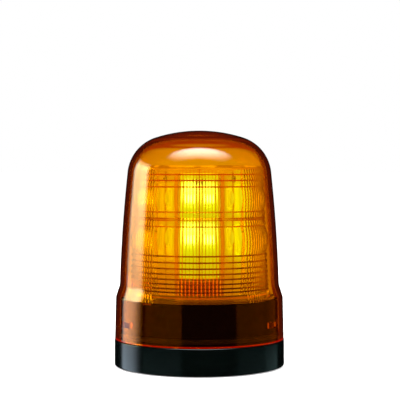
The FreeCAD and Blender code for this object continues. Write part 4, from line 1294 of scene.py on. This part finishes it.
    def surround(self):
        """White to the camera, in mirrors and through glass, and a plain grey light for the rest."""
        world = bpy.data.worlds.new("surround")
        world.use_nodes = True
        bpy.context.scene.world = world
        paint = Paint(world.node_tree)
        seen = paint.path("Is Camera Ray")
        for kind in ("Is Glossy Ray", "Is Transmission Ray"):
            seen = seen.math("MAXIMUM", seen, paint.path(kind))
        sky = paint.node("ShaderNodeBackground", inputs={
            "Color": solid(WHITE), "Strength": paint.between(seen, (0.0, 1.0), self.ambient, 1.0),
        })
        paint.node("ShaderNodeOutputWorld", inputs={"Surface": sky})

    def camera(self, settings):
        """A camera before the beacon, which looks down a little."""
        data = bpy.data.cameras.new("camera")
        data.lens, data.sensor_width = settings.lens, self.sensor
        data.clip_start, data.clip_end = self.clip
        camera = placed("camera", data)
        camera.location = (settings.camera_aside, -settings.camera_distance, settings.camera_height)
        camera.rotation_euler = (math.pi / 2 - settings.camera_tilt, 0.0, 0.0)
        bpy.context.scene.camera = camera

    def dark_room(self):
        """A closed drum, and three walls just inside it."""
        wide, low, high = self.room_radius, self.room_floor, self.room_top
        section = np.array(((0, low), (wide, low), (wide, high), (0, high)))
        room = turned_line(section, np.radians(np.linspace(0, 360, self.room_steps)))
        self.card("dark_room", room, self.room_light, warm=0.12)
        for name, start, end, level, warm in self.walls:
            grid = self.upright(0.95, low, high, start, end)
            self.card(name, grid, self.low(level), warm, tint=self.cool, amber=self.wall_amber)

    def shines(self):
        """The cards of the tall softbox, from the top down, and of the overhead one."""
        ends = (self.room_floor, -0.17, -0.02, 1.0)
        lower, middle, upper = [self.upright(0.9, *pair, 134, 190) for pair in zip(ends, ends[1:])]
        high = self.strip(back=0.8, front=0.4, start=-4, end=5)
        low = self.strip(back=1.0, front=0.0, start=-14, end=8)
        self.card("high_shine", upper, high, warm=0.5, tint=self.cream, deep=0.9)
        self.card("middle_shine", middle, low, warm=0.5, deep=3.2)
        self.card("low_shine", lower, low, warm=0.5, tint=self.sky)
        self.card("top_shine", self.level(across=(-1.4, 1.4), along=(-1.3, 0.1), height=1.35), self.pool)

    def flags(self):
        """Warm flags behind the globe: two at the sides, which fade outwards, and one above."""
        for name, ends, fade in (("left_flag", (105, 142), (124, 142)), ("right_flag", (38, 75), (56, 38))):
            grid = self.upright(0.8, self.room_floor, 1.7, *ends)
            self.card(name, grid, self.room_light, warm=0.14, through=0.4, fade=fade)
        grid = self.upright(0.8, 0.37, 1.7, 75, 105)
        self.card("top_flag", grid, self.room_light, warm=0.3, through=0.7)

    def execute(self, context):
        settings = context.scene.beacon.stage
        context.scene.view_settings.view_transform = "Standard"
        self.camera(settings)
        self.floor(settings)
        self.surround()
        side = dict(angle=154.0, rise=12.0, distance=1.1, width=0.6, height=1.3)
        self.softbox("left_softbox", settings.side_power, **side)
        top = dict(angle=270.0, rise=80.0, distance=1.0, width=0.95, height=0.7)
        self.softbox("top_softbox", settings.top_power, **top)
        fill = dict(angle=26.0, rise=12.0, distance=1.2, width=0.5, height=1.2)
        self.softbox("right_softbox", settings.fill_power, **fill)
        self.dark_room()
        self.shines()
        self.flags()
        return {"FINISHED"}


OPERATORS = (
    BEACON_OT_stage, BEACON_OT_base, BEACON_OT_fittings, BEACON_OT_springs, BEACON_OT_tower, BEACON_OT_lens,
    BEACON_OT_globe,
)


class BEACON_PT_panel(Panel):
    """Lists the beacon's operators and settings"""

    bl_idname = "BEACON_PT_panel"
    bl_label = "Signal beacon"
    bl_space_type = "VIEW_3D"
    bl_region_type = "UI"
    bl_category = "Beacon"

    def draw(self, context):
        for operator in OPERATORS:
            self.layout.operator(operator.bl_idname)
        settings = context.scene.beacon
        for group in (settings.globe, settings.lens, settings.lamps, settings.base, settings.stage):
            box = self.layout.box()
            for name in group.__annotations__:
                box.prop(group, name)


CLASSES = (
    GlobeSettings, LensSettings, LampSettings, BaseSettings, StageSettings, BeaconSettings,
    *OPERATORS, BEACON_PT_panel,
)


def register():
    """Registers the classes and the scene's settings."""
    for item in CLASSES:
        bpy.utils.register_class(item)
    bpy.types.Scene.beacon = PointerProperty(type=BeaconSettings)


def unregister():
    """Undoes register."""
    del bpy.types.Scene.beacon
    for item in reversed(CLASSES):
        bpy.utils.unregister_class(item)


def main():
    """Builds the beacon and its stage."""
    register()
    for operator in OPERATORS:
        group, name = operator.bl_idname.split(".")
        getattr(getattr(bpy.ops, group), name)()


if __name__ == "__main__":
    main()
